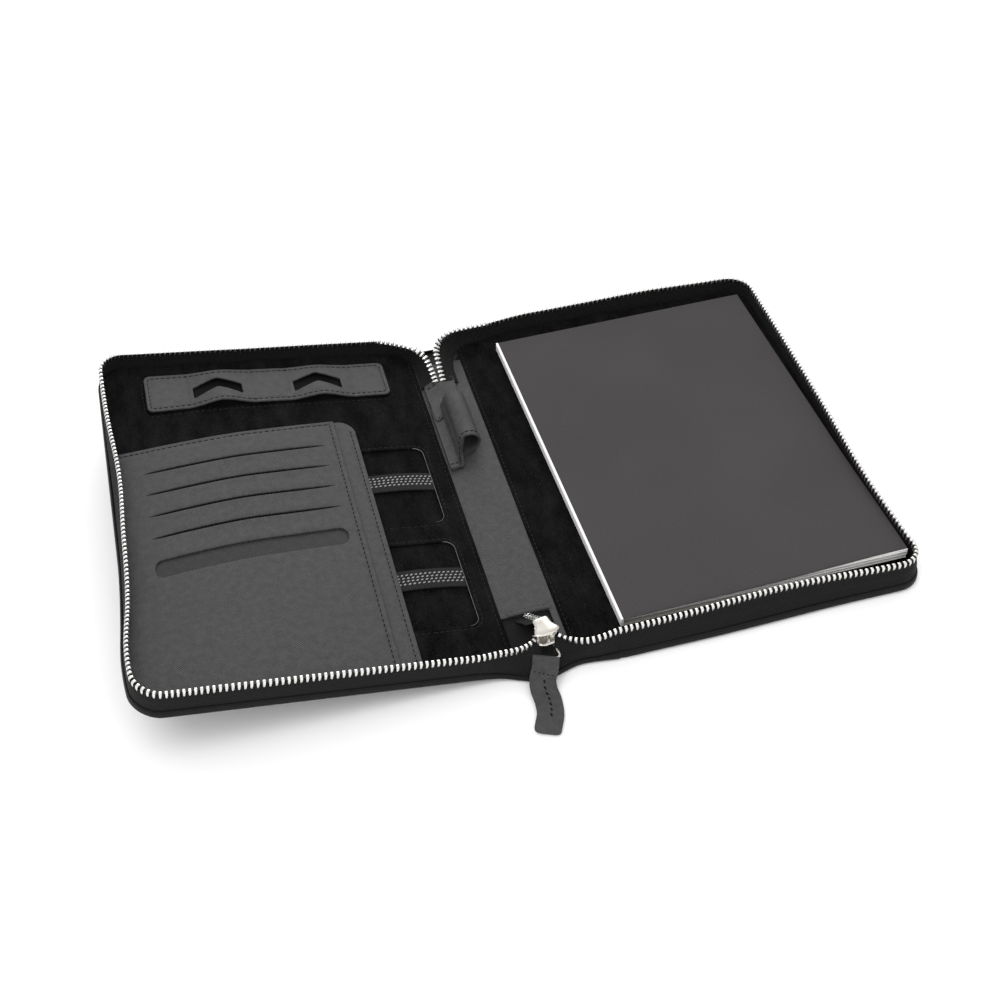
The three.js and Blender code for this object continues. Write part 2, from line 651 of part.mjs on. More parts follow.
// The tab wraps the ring's front bar, drops over the case's front edge and lies on the table.
function addTab(bar) {
  const hole = RING_WIRE * 0.7072 + RING_PLAY / 2;
  const outer = hole + TAB_THICKNESS * 0.7;
  const bottom = TABLE_CLEARANCE - bar.z;
  const top = bottom + TAB_THICKNESS;
  const bendY = -outer - 5;
  const shape = new THREE.Shape();
  const wrapStart = Math.PI * 0.95;
  const wrapEnd = -Math.PI * 0.6;
  shape.absarc(0, 0, outer, wrapStart, wrapEnd, true);
  shape.quadraticCurveTo(-outer - 1, bottom, bendY, bottom);
  shape.lineTo(-TAB_REACH, bottom);
  shape.lineTo(-TAB_REACH, top);
  shape.lineTo(bendY - 0.6, top);
  const wrapPoint = [outer * Math.cos(wrapStart), outer * Math.sin(wrapStart)];
  shape.quadraticCurveTo(-outer - 2.2, top, ...wrapPoint);
  const bore = new THREE.Path();
  bore.absarc(0, 0, hole, 0, 2 * Math.PI);
  shape.holes.push(bore);
  const mesh = addMesh(root, "pull_tab", joined(extrudeAcross(shape, TAB_WIDTH, 6)), leather);
  mesh.position.set(0, bar.y - RING_REACH, bar.z);
}

// ---------------------------------------------------------------- assembly
const surface = addSpine();
const webBottom = surface;
addEndWeb("zip_web_front", -1, webBottom);
addEndWeb("zip_web_rear", 1, webBottom);
addZipEnds(surface);
addPenLoop(surface);

addShell("left", SIDES.left);
addWindows(SIDES.left);
addOrganiser(SIDES.left);
addPockets(SIDES.left);

addShell("right", SIDES.right);
addPad(SIDES.right);

const ringBar = addSlider();
addRing(ringBar);
addTab(ringBar);

export default root;
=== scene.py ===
"""Looks of a zip-round portfolio case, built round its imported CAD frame.

Lengths are millimetres until build() turns them into metres. A half is drawn in its own
coordinates: d is the distance from its hinge line, y runs along the spine to the rear, and z
is the height above the table as the half lies flat. The spine is drawn in the row frame.
"""

import json
import math
import random

import bmesh
import bpy
import numpy as np
from mathutils import Matrix, Vector
from mathutils.geometry import delaunay_2d_cdt

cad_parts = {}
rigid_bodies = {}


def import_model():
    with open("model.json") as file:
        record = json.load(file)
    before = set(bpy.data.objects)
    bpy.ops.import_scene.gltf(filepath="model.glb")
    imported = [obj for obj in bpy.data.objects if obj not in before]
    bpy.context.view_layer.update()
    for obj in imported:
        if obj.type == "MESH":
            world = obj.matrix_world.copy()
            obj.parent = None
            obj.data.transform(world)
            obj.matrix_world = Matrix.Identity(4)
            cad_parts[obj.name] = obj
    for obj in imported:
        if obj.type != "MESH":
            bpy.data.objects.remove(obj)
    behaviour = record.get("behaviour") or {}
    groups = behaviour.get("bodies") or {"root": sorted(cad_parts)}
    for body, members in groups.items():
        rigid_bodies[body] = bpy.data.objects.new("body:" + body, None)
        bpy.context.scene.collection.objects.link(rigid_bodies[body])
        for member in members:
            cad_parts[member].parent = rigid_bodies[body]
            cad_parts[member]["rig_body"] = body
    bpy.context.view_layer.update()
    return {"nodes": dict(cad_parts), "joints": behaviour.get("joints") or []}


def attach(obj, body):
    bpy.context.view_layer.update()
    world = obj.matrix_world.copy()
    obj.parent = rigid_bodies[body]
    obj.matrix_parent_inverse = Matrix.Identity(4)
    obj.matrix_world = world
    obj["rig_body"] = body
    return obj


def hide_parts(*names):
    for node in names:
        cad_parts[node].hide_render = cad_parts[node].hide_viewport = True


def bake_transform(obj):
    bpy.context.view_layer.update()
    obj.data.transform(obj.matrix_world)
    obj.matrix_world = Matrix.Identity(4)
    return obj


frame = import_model()
MM = 0.001
rng = random.Random(7)

# ---------------------------------------------------------------- the frame's own values
JOINTS = {j["name"]: j for j in frame["joints"]}
HINGE_X, _, HINGE_Z = (v / MM for v in JOINTS["right_fold"]["pos_m"])
LIFT = -math.radians(JOINTS["left_fold"]["range_deg"][0])
COS, SIN = math.cos(LIFT), math.sin(LIFT)


def on_spine(p):
    return p


def smooth_step(t):
    t = np.clip(t, 0, 1)
    return t * t * (3 - 2 * t)


def on_right(p):
    """The right half bows out a little at its rear and front, and in at its outer wall."""
    d, y = p[:, 0], p[:, 1]
    rear = 4.4 * smooth_step(d / 45) * (1 - 0.72 * smooth_step((d - 105) / 60))
    front = 3.8 * smooth_step((d + 4) / 30) * (1 - 0.42 * smooth_step((d - 60) / 80))
    front = front * (1 - smooth_step((p[:, 2] - 3) / 11))
    far = smooth_step((d - 130) / 46)
    d = d - far * (2.8 * np.exp(-(((y + 62) / 48) ** 2)) - 1.6 * smooth_step((-y - 98) / 20))
    y = y * (1 + np.where(y > 0, rear, front) / 119)
    return np.stack([HINGE_X + d, y, p[:, 2]], 1)


def on_left(p):
    """The left half bends up at its hinge, and its outer edge is drawn in."""
    d, y = p[:, 0], p[:, 1]
    far = smooth_step((d - 136) / 40)
    draw = 4.1 - 2.4 * np.exp(-(((y + 88) / 26) ** 2)) - 1.0 * smooth_step((-y - 20) / 40)
    shift = 4.3 * smooth_step((d - 100) / 65) * (1 - 0.75 * smooth_step((y - 88) / 25))
    y = y - shift * smooth_step((y + 110) / 70)
    d = d - far * draw
    up = p[:, 2] - HINGE_Z
    bend = smooth_step((p[:, 0] + 5) / 10)
    x = -HINGE_X - d * (1 - bend + bend * COS) + bend * up * SIN
    return np.stack([x, y, HINGE_Z + bend * d * SIN + up * (1 - bend + bend * COS)], 1)


def on_pad(p):
    """The pad lies a little askew in its sleeve, and is drawn 1.5 % long."""
    turn, middle = math.radians(1.1), 94.0
    d, y = p[:, 0] - middle, p[:, 1] * 1.015
    x = HINGE_X + middle + d * math.cos(turn) - y * math.sin(turn)
    return np.stack([x, y * math.cos(turn) + d * math.sin(turn), p[:, 2]], 1)


def node_box(node):
    """Lowest and highest corner of a CAD node, in mm, in the coordinates it is drawn in."""
    body = frame["nodes"][node]["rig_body"]
    p = np.array([v.co for v in frame["nodes"][node].data.vertices]) / MM
    if body == "pocket_half":
        x, z = p[:, 0] + HINGE_X, p[:, 2] - HINGE_Z
        p = np.stack([z * SIN - x * COS, p[:, 1], x * SIN + z * COS + HINGE_Z], 1)
    elif body in ("pad_half", "pad", "pad_flap"):
        p = p - [HINGE_X, 0, 0]
    return p.min(0), p.max(0)


PLACES = {"spine": on_spine, "right": on_right, "left": on_left, "pad": on_pad}
BODIES = {"spine": "spine", "right": "pad_half", "left": "pocket_half"}

COVER_LOW, COVER_HIGH = node_box("right_cover")
TAPE_LOW, TAPE_HIGH = node_box("right_zip_tape")
TEETH_LOW, TEETH_HIGH = node_box("right_zip_teeth")
OUTER, HALF_DEPTH = COVER_HIGH[0], COVER_HIGH[1]
CORNER = 15.0
WALL_START = TAPE_LOW[0]
WALL_INSET = OUTER - TAPE_HIGH[0] + 0.4  # cover edge to the middle of the tape
TOOTH_PITCH = 2.7


# ---------------------------------------------------------------- materials
def material(name, color, roughness, metallic=0.0, **sockets):
    mat = bpy.data.materials.new(name)
    mat.use_nodes = True
    shader = mat.node_tree.nodes["Principled BSDF"]
    shader.inputs["Base Color"].default_value = (*color, 1)
    shader.inputs["Roughness"].default_value = roughness
    shader.inputs["Metallic"].default_value = metallic
    for socket, value in sockets.items():
        shader.inputs[socket.replace("_", " ")].default_value = value
    return mat


class Nodes:
    """Short calls that add nodes to one material."""

    def __init__(self, mat):
        self.tree = mat.node_tree
        self.shader = self.tree.nodes["Principled BSDF"]

    def add(self, kind, inputs=None, **settings):
        node = self.tree.nodes.new(kind)
        for key, value in settings.items():
            setattr(node, key, value)
        for key, value in (inputs or {}).items():
            if isinstance(value, bpy.types.NodeSocket):
                self.tree.links.new(value, node.inputs[key])
            else:
                node.inputs[key].default_value = value
        return node

    def flat(self):
        """Metres along the piece as cut, from its UV map."""
        return self.add("ShaderNodeUVMap", uv_map="flat").outputs[0]

    def place(self):
        return self.add("ShaderNodeTexCoord").outputs["Object"]

    def math(self, operation, a, b=0.0, c=0.0):
        return self.add("ShaderNodeMath", {0: a, 1: b, 2: c}, operation=operation).outputs[0]

    def turned(self, vector, degrees, scale=(1, 1, 1)):
        turn = (0, 0, math.radians(degrees))
        return self.add(
            "ShaderNodeMapping", {"Vector": vector, "Rotation": turn, "Scale": scale}
        ).outputs[0]

    def noise(self, vector, scale, detail=3.0, rough=0.55):
        made = self.add(
            "ShaderNodeTexNoise",
            {"Vector": vector, "Scale": scale, "Detail": detail, "Roughness": rough},
        )
        return made.outputs[0]

    def bands(self, vector, pitch, distortion=0.0, detail_scale=1.0):
        """Even ridges across X, one each `pitch` metres."""
        made = self.add(
            "ShaderNodeTexWave",
            {
                "Vector": vector,
                "Scale": math.pi / 10 / pitch,
                "Distortion": distortion,
                "Detail": 2.0,
                "Detail Scale": detail_scale,
            },
        )
        return made.outputs[1]

    def ramp(self, value, low, high, out_low, out_high):
        made = self.add(
            "ShaderNodeMapRange",
            {0: value, 1: low, 2: high, 3: out_low, 4: out_high},
        )
        return made.outputs[0]

    def mix(self, factor, a, b):
        made = self.add("ShaderNodeMix", data_type="RGBA")
        for socket, value in ((made.inputs[0], factor), (made.inputs[6], a), (made.inputs[7], b)):
            if isinstance(value, bpy.types.NodeSocket):
                self.tree.links.new(value, socket)
            else:
                socket.default_value = value if not isinstance(value, tuple) else (*value, 1)
        return made.outputs[2]

    def bump(self, height, depth, strength=1.0):
        inputs = {"Height": height, "Distance": depth, "Strength": strength}
        return self.add("ShaderNodeBump", inputs).outputs[0]

    def set(self, **sockets):
        for name, value in sockets.items():
            self.tree.links.new(value, self.shader.inputs[name.replace("_", " ")])


def saffiano(name, dark, light, pitch=0.00086, depth=0.00012, gloss=0.22):
    """Leather pressed with a fine cross-hatch. Its colour is painted lighter on the ridges and darker in the grooves, a
    painted highlight and painted shade, patchy at random.
    """
    mat = material(name, light, 0.6, Specular_IOR_Level=gloss)
    n = Nodes(mat)
    flat = n.flat()
    drift = n.noise(flat, 45, 2)
    one = n.bands(n.turned(flat, 38), pitch, 2.2, 2.0)
    two = n.bands(n.turned(flat, -52), pitch * 1.08, 2.2, 2.0)
    one = n.math("MULTIPLY", one, n.ramp(drift, 0.3, 0.7, 0.7, 1.0))
    two = n.math("MULTIPLY", two, n.ramp(drift, 0.3, 0.7, 1.0, 0.7))
    hatch = n.math("MAXIMUM", one, two)
    pores = n.noise(flat, 1100, 3, 0.7)
    height = n.math("ADD", hatch, n.math("MULTIPLY", pores, 0.6))
    painted_ridge_light = n.math("MULTIPLY", height, n.ramp(n.noise(flat, 260, 3, 0.65), 0.3, 0.7, 0.75, 1.15))
    # base colour follows the hatch height: painted highlight on the ridges, painted shade in the grooves
    n.set(
        Base_Color=n.mix(n.ramp(painted_ridge_light, 0.45, 1.35, 0, 1), dark, light),
        Roughness=n.ramp(height, 0.2, 1.2, 0.7, 0.46),
        Normal=n.bump(height, depth, 0.9),
    )
    return mat


def suede_cloth(name, dark, light):
    """Short-napped microfibre: brushed patches over a fine fibre noise."""
    mat = material(name, light, 0.95, Specular_IOR_Level=0.03, Sheen_Weight=0.05, Sheen_Roughness=0.5)
    mat.node_tree.nodes["Principled BSDF"].inputs["Sheen Tint"].default_value = (0.5, 0.5, 0.52, 1)
    n = Nodes(mat)
    flat = n.flat()
    brushed = n.noise(n.turned(flat, 20, (1, 0.45, 1)), 90, 5, 0.7)
    fibre = n.noise(flat, 1000, 3, 0.8)
    tone = n.math("ADD", n.math("MULTIPLY", brushed, 0.55), n.math("MULTIPLY", fibre, 0.45))
    lint = n.ramp(n.noise(flat, 1500, 1, 0.4), 0.69, 0.78, 0, 0.6)
    cloth = n.mix(n.ramp(tone, 0.40, 0.66, 0, 1), dark, light)
    n.set(
        Base_Color=n.mix(lint, cloth, (0.07, 0.07, 0.072)),
        Normal=n.bump(tone, 0.00025, 0.7),
    )
    return mat


def herringbone(name):
    """Zip tape: columns of slanted ribs whose direction turns at each column."""
    mat = material(name, (0.008, 0.008, 0.008), 0.8, Specular_IOR_Level=0.12, Sheen_Weight=0.02)
    n = Nodes(mat)
    parts = n.add("ShaderNodeSeparateXYZ", {0: n.flat()}).outputs
    fold = n.math("PINGPONG", parts[1], 0.0021)
    rib = n.math("ADD", parts[0], n.math("MULTIPLY", fold, 1.15))
    wave = n.math("SINE", n.math("MULTIPLY", rib, 2 * math.pi / 0.00125))
    groove = n.math("SINE", n.math("MULTIPLY", parts[1], 2 * math.pi / 0.0021))
    groove = n.math("MULTIPLY", n.math("ABSOLUTE", groove), 0.25)
    height = n.math("ADD", n.ramp(wave, -1, 1, 0, 1), groove)
    fuzz = n.noise(n.flat(), 3000, 2)
    tone = n.math("MULTIPLY", height, n.ramp(fuzz, 0.3, 0.7, 0.6, 1.2))
    # base colour: ribs painted lighter as a painted sheen, grooves painted darker as painted shade, varied by fine
    # noise
    n.set(
        Base_Color=n.mix(
            n.ramp(tone, 0.1, 1.1, 0, 1), (0.0003, 0.0003, 0.0003), (0.017, 0.017, 0.0175)),
        Normal=n.bump(height, 0.00022, 0.9),
    )
    return mat


def nickel(name, roughness, tint):
    mat = material(name, tint, roughness, 1.0)
    n = Nodes(mat)
    spots = n.noise(n.place(), 900, 3)
    n.set(
        Roughness=n.ramp(spots, 0.3, 0.7, roughness - 0.05, roughness + 0.09),
        Base_Color=n.mix(n.ramp(spots, 0.35, 0.75, 0, 1), tint, tuple(c * 0.86 for c in tint)),
    )
    return mat


def ribbed(name, dark, light, pitch, along=0):
    """Thread, elastic and cloth: close ribs across one direction."""
    mat = material(name, light, 0.8, Specular_IOR_Level=0.1, Sheen_Weight=0.02)
    n = Nodes(mat)
    ribs = n.bands(n.turned(n.flat(), along), pitch, 0.6, 2)
    cross = n.bands(n.turned(n.flat(), along + 90), pitch * 1.3, 0.4, 2)
    height = n.math("MULTIPLY", ribs, n.ramp(cross, 0, 1, 0.6, 1))
    n.set(
        Base_Color=n.mix(height, dark, light),
        Normal=n.bump(height, pitch * 0.3, 0.8),
    )
    return mat


def card_stock(name, dark, light, roughness=0.8):
    mat = material(name, light, roughness, Specular_IOR_Level=0.12)
    n = Nodes(mat)
    pulp = n.noise(n.flat(), 900, 4, 0.7)
    cloud = n.noise(n.flat(), 12, 2)
    tone = n.math("ADD", n.math("MULTIPLY", pulp, 0.6), n.math("MULTIPLY", cloud, 0.4))
    n.set(
        Base_Color=n.mix(n.ramp(tone, 0.35, 0.65, 0, 1), dark, light),
        Normal=n.bump(pulp, 0.00004, 0.5),
    )
    return mat


def sheet_edges(name):
    """A block of white sheets seen on edge: fine lines along it."""
    mat = material(name, (0.86, 0.85, 0.82), 0.75, Specular_IOR_Level=0.25)
    n = Nodes(mat)
    parts = n.add("ShaderNodeSeparateXYZ", {0: n.place()}).outputs
    wobble = n.math("MULTIPLY", n.noise(n.place(), 60, 2), 0.0004)
    height = n.math("ADD", parts[2], wobble)
    lines = n.math("SINE", n.math("MULTIPLY", height, 2 * math.pi / 0.00032))
    n.set(
        Base_Color=n.mix(n.ramp(lines, -1, 1, 0, 1), (0.76, 0.755, 0.73), (0.93, 0.925, 0.91)),
        Normal=n.bump(lines, 0.00006, 0.6),
    )
    return mat


LEATHER = saffiano("saffiano_grey", (0.022, 0.0215, 0.022), (0.066, 0.0645, 0.0665))
OUTSIDE = saffiano("saffiano_black", (0.002, 0.002, 0.002), (0.010, 0.010, 0.0104), gloss=0.12)
OUTSIDE_INNER = saffiano("saffiano_inner", (0.010, 0.010, 0.010), (0.034, 0.033, 0.034))
SUEDE = suede_cloth("suede_black", (0.0003, 0.0003, 0.0003), (0.0105, 0.010, 0.0102))
TAPE = herringbone("zip_tape_black")
TEETH = nickel("nickel_bright", 0.30, (0.78, 0.77, 0.75))
CAST = nickel("nickel_satin", 0.30, (0.60, 0.575, 0.53))
THREAD = ribbed("thread_black", (0.0012, 0.0012, 0.0012), (0.009, 0.009, 0.009), 0.00025)
SUEDE_THREAD = ribbed("thread_dark", (0.008, 0.008, 0.008), (0.040, 0.040, 0.040), 0.00025)
PALE_THREAD = ribbed("thread_pale", (0.22, 0.22, 0.22), (0.52, 0.52, 0.52), 0.0003)
ELASTIC = ribbed("elastic_black", (0.006, 0.006, 0.006), (0.030, 0.030, 0.031), 0.0009)
CUT_EDGE = card_stock("cut_edge_grey", (0.09, 0.09, 0.09), (0.20, 0.20, 0.20), 0.7)
# near-black lining cloth: its darkness is painted shade seen through the card slits and the organiser's cut-outs
CLOTH_PAINTED_SHADE = ribbed("lining_cloth", (0.0003, 0.0003, 0.0003), (0.002, 0.002, 0.002), 0.0007, 20)
PAPER = sheet_edges("paper_edges")
BOUND = card_stock("paper_binding", (0.74, 0.74, 0.73), (0.86, 0.86, 0.85))
SHEET_TOP = card_stock("paper_sheet", (0.80, 0.795, 0.78), (0.86, 0.855, 0.84), 0.75)
PAD_CARD = card_stock("pad_card_grey", (0.044, 0.0405, 0.042), (0.056, 0.052, 0.054))
GREY_BOARD = card_stock("grey_board", (0.20, 0.19, 0.17), (0.30, 0.28, 0.26))
FOAM = card_stock("foam_grey", (0.03, 0.03, 0.03), (0.06, 0.06, 0.06), 0.95)


# ---------------------------------------------------------------- mesh helpers
def build(name, points, faces, mat, side="spine", uv=None, sharp=50):
    """A closed mesh from points in mm. Its faces are turned outwards by its volume."""
    points = np.asarray(points, float)
    world = PLACES[side](points) * MM
    volume = 0.0
    for f in faces:
        a = world[f[0]]
        for i in range(1, len(f) - 1):
            volume += float(np.dot(a, np.cross(world[f[i]], world[f[i + 1]])))
    if volume < 0:
        faces = [tuple(reversed(f)) for f in faces]
    mesh = bpy.data.meshes.new(name)
    mesh.from_pydata(world.tolist(), [], [tuple(int(i) for i in f) for f in faces])
    mesh.update()
    uv = points[:, :2] if uv is None else np.asarray(uv, float)
    layer = mesh.uv_layers.new(name="flat")
    corner = np.zeros(len(mesh.loops), np.int32)
    mesh.loops.foreach_get("vertex_index", corner)
    layer.data.foreach_set("uv", (uv[corner] * MM).ravel())
    mesh.polygons.foreach_set("use_smooth", np.ones(len(mesh.polygons), bool))
    mesh.set_sharp_from_angle(angle=math.radians(sharp))
    mesh.materials.append(mat)
    obj = bpy.data.objects.new(name, mesh)
    bpy.context.scene.collection.objects.link(obj)
    return obj


def grid(name, rows, mat, side="spine", wrap=True, caps=True, loop=False, uv=None, sharp=50):
    """A skin over rows of points. wrap closes each row, caps close both ends."""
    rows = np.asarray(rows, float)
    n, m = rows.shape[:2]
    faces = []
    for i in range(n if loop else n - 1):
        k = (i + 1) % n
        for j in range(m if wrap else m - 1):
            l = (j + 1) % m
            faces.append((i * m + j, k * m + j, k * m + l, i * m + l))
    if caps and not loop:
        faces.append(tuple(range(m - 1, -1, -1)))
        faces.append(tuple((n - 1) * m + j for j in range(m)))
    if uv is None:
        along = run_of(rows[:, 0])
        around = run_of(rows[0])
        uv = np.stack(np.meshgrid(along, around, indexing="ij"), -1).reshape(-1, 2)
    return build(name, rows.reshape(-1, 3), faces, mat, side, uv, sharp)


def rounded(corners, radii, steps=6):
    """A closed outline with arcs at its corners. A radius of 0 keeps the corner."""
    corners = np.asarray(corners, float)
    radii = np.broadcast_to(radii, len(corners))
    out = []
    for i, p in enumerate(corners):
        a = corners[i - 1] - p
        b = corners[(i + 1) % len(corners)] - p
        la, lb = np.linalg.norm(a), np.linalg.norm(b)
        if radii[i] <= 0:
            out.append(p)
            continue
        a, b = a / la, b / lb
        half = math.acos(max(-1, min(1, float(a @ b)))) / 2
        reach = min(radii[i] / math.tan(half), la * 0.49, lb * 0.49)
        start, end = p + a * reach, p + b * reach
        centre = p + (a + b) / np.linalg.norm(a + b) * reach / math.cos(half)
        r = reach * math.tan(half)
        for k in range(steps + 1):
            q = start + (end - start) * k / steps
            v = q - centre
            out.append(centre + v / np.linalg.norm(v) * r)
    return np.array(out)


def resample(ring, spacing, closed=True):
    """The same outline with no segment longer than the spacing."""
    ring = np.asarray(ring, float)
    out = []
    last = len(ring) if closed else len(ring) - 1
    for i in range(last):
        a, b = ring[i], ring[(i + 1) % len(ring)]
        n = max(1, int(math.ceil(np.linalg.norm(b - a) / spacing)))
        out.extend(a + (b - a) * k / n for k in range(n))
    if not closed:
        out.append(ring[-1])
    return np.array(out)


def offset(ring, amount, closed=True):
    """The outline moved to its left by the amount, so inwards if it runs counter-clockwise."""
    ring = np.asarray(ring, float)
    back, ahead = np.roll(ring, 1, 0), np.roll(ring, -1, 0)
    if not closed:
        back[0], ahead[-1] = ring[0] * 2 - ring[1], ring[-1] * 2 - ring[-2]
    one, two = ring - back, ahead - ring
    one /= np.linalg.norm(one, axis=1)[:, None] + 1e-12
    two /= np.linalg.norm(two, axis=1)[:, None] + 1e-12
    n1, n2 = np.stack([-one[:, 1], one[:, 0]], 1), np.stack([-two[:, 1], two[:, 0]], 1)
    return ring + amount * (n1 + n2) / (1 + (n1 * n2).sum(1))[:, None].clip(0.35)


def counter_clockwise(ring):
    ring = np.asarray(ring, float)
    x, y = ring.T
    area = (x * np.roll(y, -1) - y * np.roll(x, -1)).sum()
    return ring if area > 0 else ring[::-1]


def unit(v):
    return v / np.linalg.norm(v)


def run_of(line):
    """The length along a line up to each of its points."""
    return np.concatenate([[0], np.cumsum(np.linalg.norm(np.diff(line, axis=0), axis=1))])


def point_at(at, run, line):
    return np.array([np.interp(at, run, line[:, i]) for i in range(3)])


def box_ring(low, high):
    return [(low[0], low[1]), (high[0], low[1]), (high[0], high[1]), (low[0], high[1])]


def circle(count):
    return np.linspace(0, 2 * math.pi, count, endpoint=False)


def inside(points, ring):
    x, y = points[:, 0], points[:, 1]
    hit = np.zeros(len(points), bool)
    for (x0, y0), (x1, y1) in zip(ring, np.roll(ring, -1, 0)):
        if y0 != y1:
            cross = (y0 > y) != (y1 > y)
            hit ^= cross & (x < (x1 - x0) * (y - y0) / (y1 - y0) + x0)
    return hit


def distance(points, line, closed=True):
    """From each point to the nearest segment of a line."""
    line = np.asarray(line, float)
    ends = np.roll(line, -1, 0) if closed else line[1:]
    starts = line if closed else line[:-1]
    best = np.full(len(points), 1e9)
    for a, b in zip(starts, ends):
        ab = b - a
        t = (((points - a) @ ab) / max(float(ab @ ab), 1e-12)).clip(0, 1)
        best = np.minimum(best, np.linalg.norm(points - a - t[:, None] * ab, axis=1))
    return best


def lay(piece, held, *rests_on, with_pieces=()):
    """Returns the panel as it is."""
    return piece


def panel(name, outline, base, thick, mat, side, holes=(), step=4.0, edge=0.3, lift=None,
          under=None, creases=(), columns=(), spacing=2.5):
    """A sheet cut to an outline, with rounded edges. lift(d, y) raises its top and, if
    under is true, its underside. creases are (line, depth, width) pressed into the top."""
    rings = [resample(counter_clockwise(outline), spacing)]
    rings += [resample(counter_clockwise(h)[::-1], spacing) for h in holes]
    points, edges = [], []
    for ring in rings:
        for amount in (0, edge * 0.12, edge * 0.45, edge):
            moved = offset(ring, amount)
            start = sum(len(p) for p in points)
            points.append(moved)
            edges += [(start + i, start + (i + 1) % len(moved)) for i in range(len(moved))]
    low, high = rings[0].min(0), rings[0].max(0)
    xs = np.union1d(np.arange(low[0] + step / 2, high[0], step), np.asarray(columns, float))
    ys = np.arange(low[1] + step / 2, high[1], step)
    cells = np.stack(np.meshgrid(xs, ys, indexing="ij"), -1).reshape(-1, 2)
    extra = [cells]
    for line, _, width in creases:
        line = resample(line, min(spacing, 2.0), closed=False)
        extra += [offset(line, o * width, closed=False) for o in (-1.6, -0.7, 0, 0.7, 1.6)]
    extra = np.concatenate(extra)
    near = np.min([distance(extra, r) for r in rings], 0)
    keep = inside(extra, rings[0]) & (near > edge * 1.3)
    for ring in rings[1:]:
        keep &= ~inside(extra, ring)
    points.append(extra[keep])
    flat = np.concatenate(points)
    verts, _, faces, *_ = delaunay_2d_cdt([Vector(p) for p in flat], edges, [], 0, 1e-5)
    flat = np.array([(v.x, v.y) for v in verts])
    faces = np.array([f for f in faces if len(f) == 3])
    middle = flat[faces].mean(1)
    keep = inside(middle, rings[0])
    for ring in rings[1:]:
        keep &= ~inside(middle, ring)
    faces = faces[keep]
    used = np.unique(faces)
    index = np.full(len(flat), -1)
    index[used] = np.arange(len(used))
    flat, faces = flat[used], index[faces]
    a, b, c = flat[faces[:, 0]], flat[faces[:, 1]], flat[faces[:, 2]]
    turn = (b[:, 0] - a[:, 0]) * (c[:, 1] - a[:, 1]) - (b[:, 1] - a[:, 1]) * (c[:, 0] - a[:, 0])
    faces[turn < 0] = faces[turn < 0][:, ::-1]

    away = np.min([distance(flat, r) for r in rings], 0)
    s = (edge - away).clip(0, edge)
    drop = edge - np.sqrt((edge * edge - s * s).clip(0))
    floor = base(flat[:, 0], flat[:, 1]) if callable(base) else np.full(len(flat), float(base))
    raised = lift(flat[:, 0], flat[:, 1]) if lift else np.zeros(len(flat))
    top = floor + thick - drop + raised
    for line, depth, width in creases:
        top -= depth * np.exp(-((distance(flat, line, closed=False) / width) ** 2))
    bottom = floor + (raised if under else 0)
    n = len(flat)
    verts = np.concatenate([np.column_stack([flat, top]), np.column_stack([flat, bottom])])
    sides = {}
    for f in faces:
        for i in range(3):
            sides[(f[i], f[(i + 1) % 3])] = True
    walls = [(j, i, i + n, j + n) for i, j in sides if (j, i) not in sides]
    all_faces = [tuple(f) for f in faces] + [tuple(f[::-1] + n) for f in faces] + walls
    return build(name, verts, all_faces, mat, side)


CAPSULE = [(-1.0, 0.02), (-0.82, 0.6), (-0.4, 0.95), (0.4, 0.95), (0.82, 0.6), (1.0, 0.02)]


def stitches(name, lines, mat, side, pitch=3.4, length=2.5, thick=0.24, tilt=0.0, sides=6):
    """Threads along 3-D lines, each one a slim capsule sunk to its middle."""
    verts, faces, uv = [], [], []
    for line in lines:
        line = np.asarray(line, float)
        gone = run_of(line)
        count = int(gone[-1] // pitch)
        if count < 1:
            continue
        gap = gone[-1] / count
        for k in range(count):
            at = (k + 0.5) * gap
            reach = length / 2 * (gap / pitch) * rng.uniform(0.9, 1.05)
            a, b = (point_at(v, gone, line) for v in (at - reach, at + reach))
            along = unit(b - a)
            across = unit(np.cross((0, 0, 1), along))
            if tilt:
                along = unit(along + across * tilt)
                across = np.cross((0, 0, 1), along)
            up = np.cross(along, across)
            middle = (a + b) / 2
            start = len(verts)
            for t, r in CAPSULE:
                for j in range(sides):
                    angle = 2 * math.pi * j / sides
                    offset_ = across * math.cos(angle) + up * math.sin(angle)
                    verts.append(middle + along * t * reach + offset_ * r * thick)
                    uv.append((at + t * reach, j * thick))
            for i in range(len(CAPSULE) - 1):
                for j in range(sides):
                    p, q = start + i * sides, start + (i + 1) * sides
                    l = (j + 1) % sides
                    faces.append((p + j, q + j, q + l, p + l))
            faces.append(tuple(start + j for j in range(sides - 1, -1, -1)))
            end = start + (len(CAPSULE) - 1) * sides
            faces.append(tuple(end + j for j in range(sides)))
    return build(name, verts, faces, mat, side, uv)


def spline(points, count):
    """A smooth curve through the points, evenly spaced along its length."""
    p = np.asarray(points, float)
    ext = np.vstack([2 * p[0] - p[1], p, 2 * p[-1] - p[-2]])
    fine = []
    for i in range(len(p) - 1):
        a, b, c, d = ext[i : i + 4]
        for t in np.linspace(0, 1, 24, endpoint=False):
            fine.append(
                0.5 * (2 * b + (c - a) * t + (2 * a - 5 * b + 4 * c - d) * t**2 + (3 * b - a - 3 * c + d) * t**3)
            )
    fine.append(p[-1])
    fine = np.array(fine)
    gone = run_of(fine[:, :3])
    at = np.linspace(0, gone[-1], count)
    return np.stack([np.interp(at, gone, fine[:, i]) for i in range(p.shape[1])], 1)


# ---------------------------------------------------------------- shared shapes of a half
def bump_at(x, middle, width):
    return np.exp(-(((x - middle) / width) ** 2))


# how far the top of each wall leans in: amount, middle and width along that wall
LEANS = {
    "left": {"outer": [(3.4, 22, 40), (2.0, -55, 38)], "front": [], "rear": [(0.8, 100, 40)]},
    "right": {"outer": [(1.0, 0, 60)], "front": [(3.0, 105, 45)], "rear": [(0.8, 60, 50)]},
}


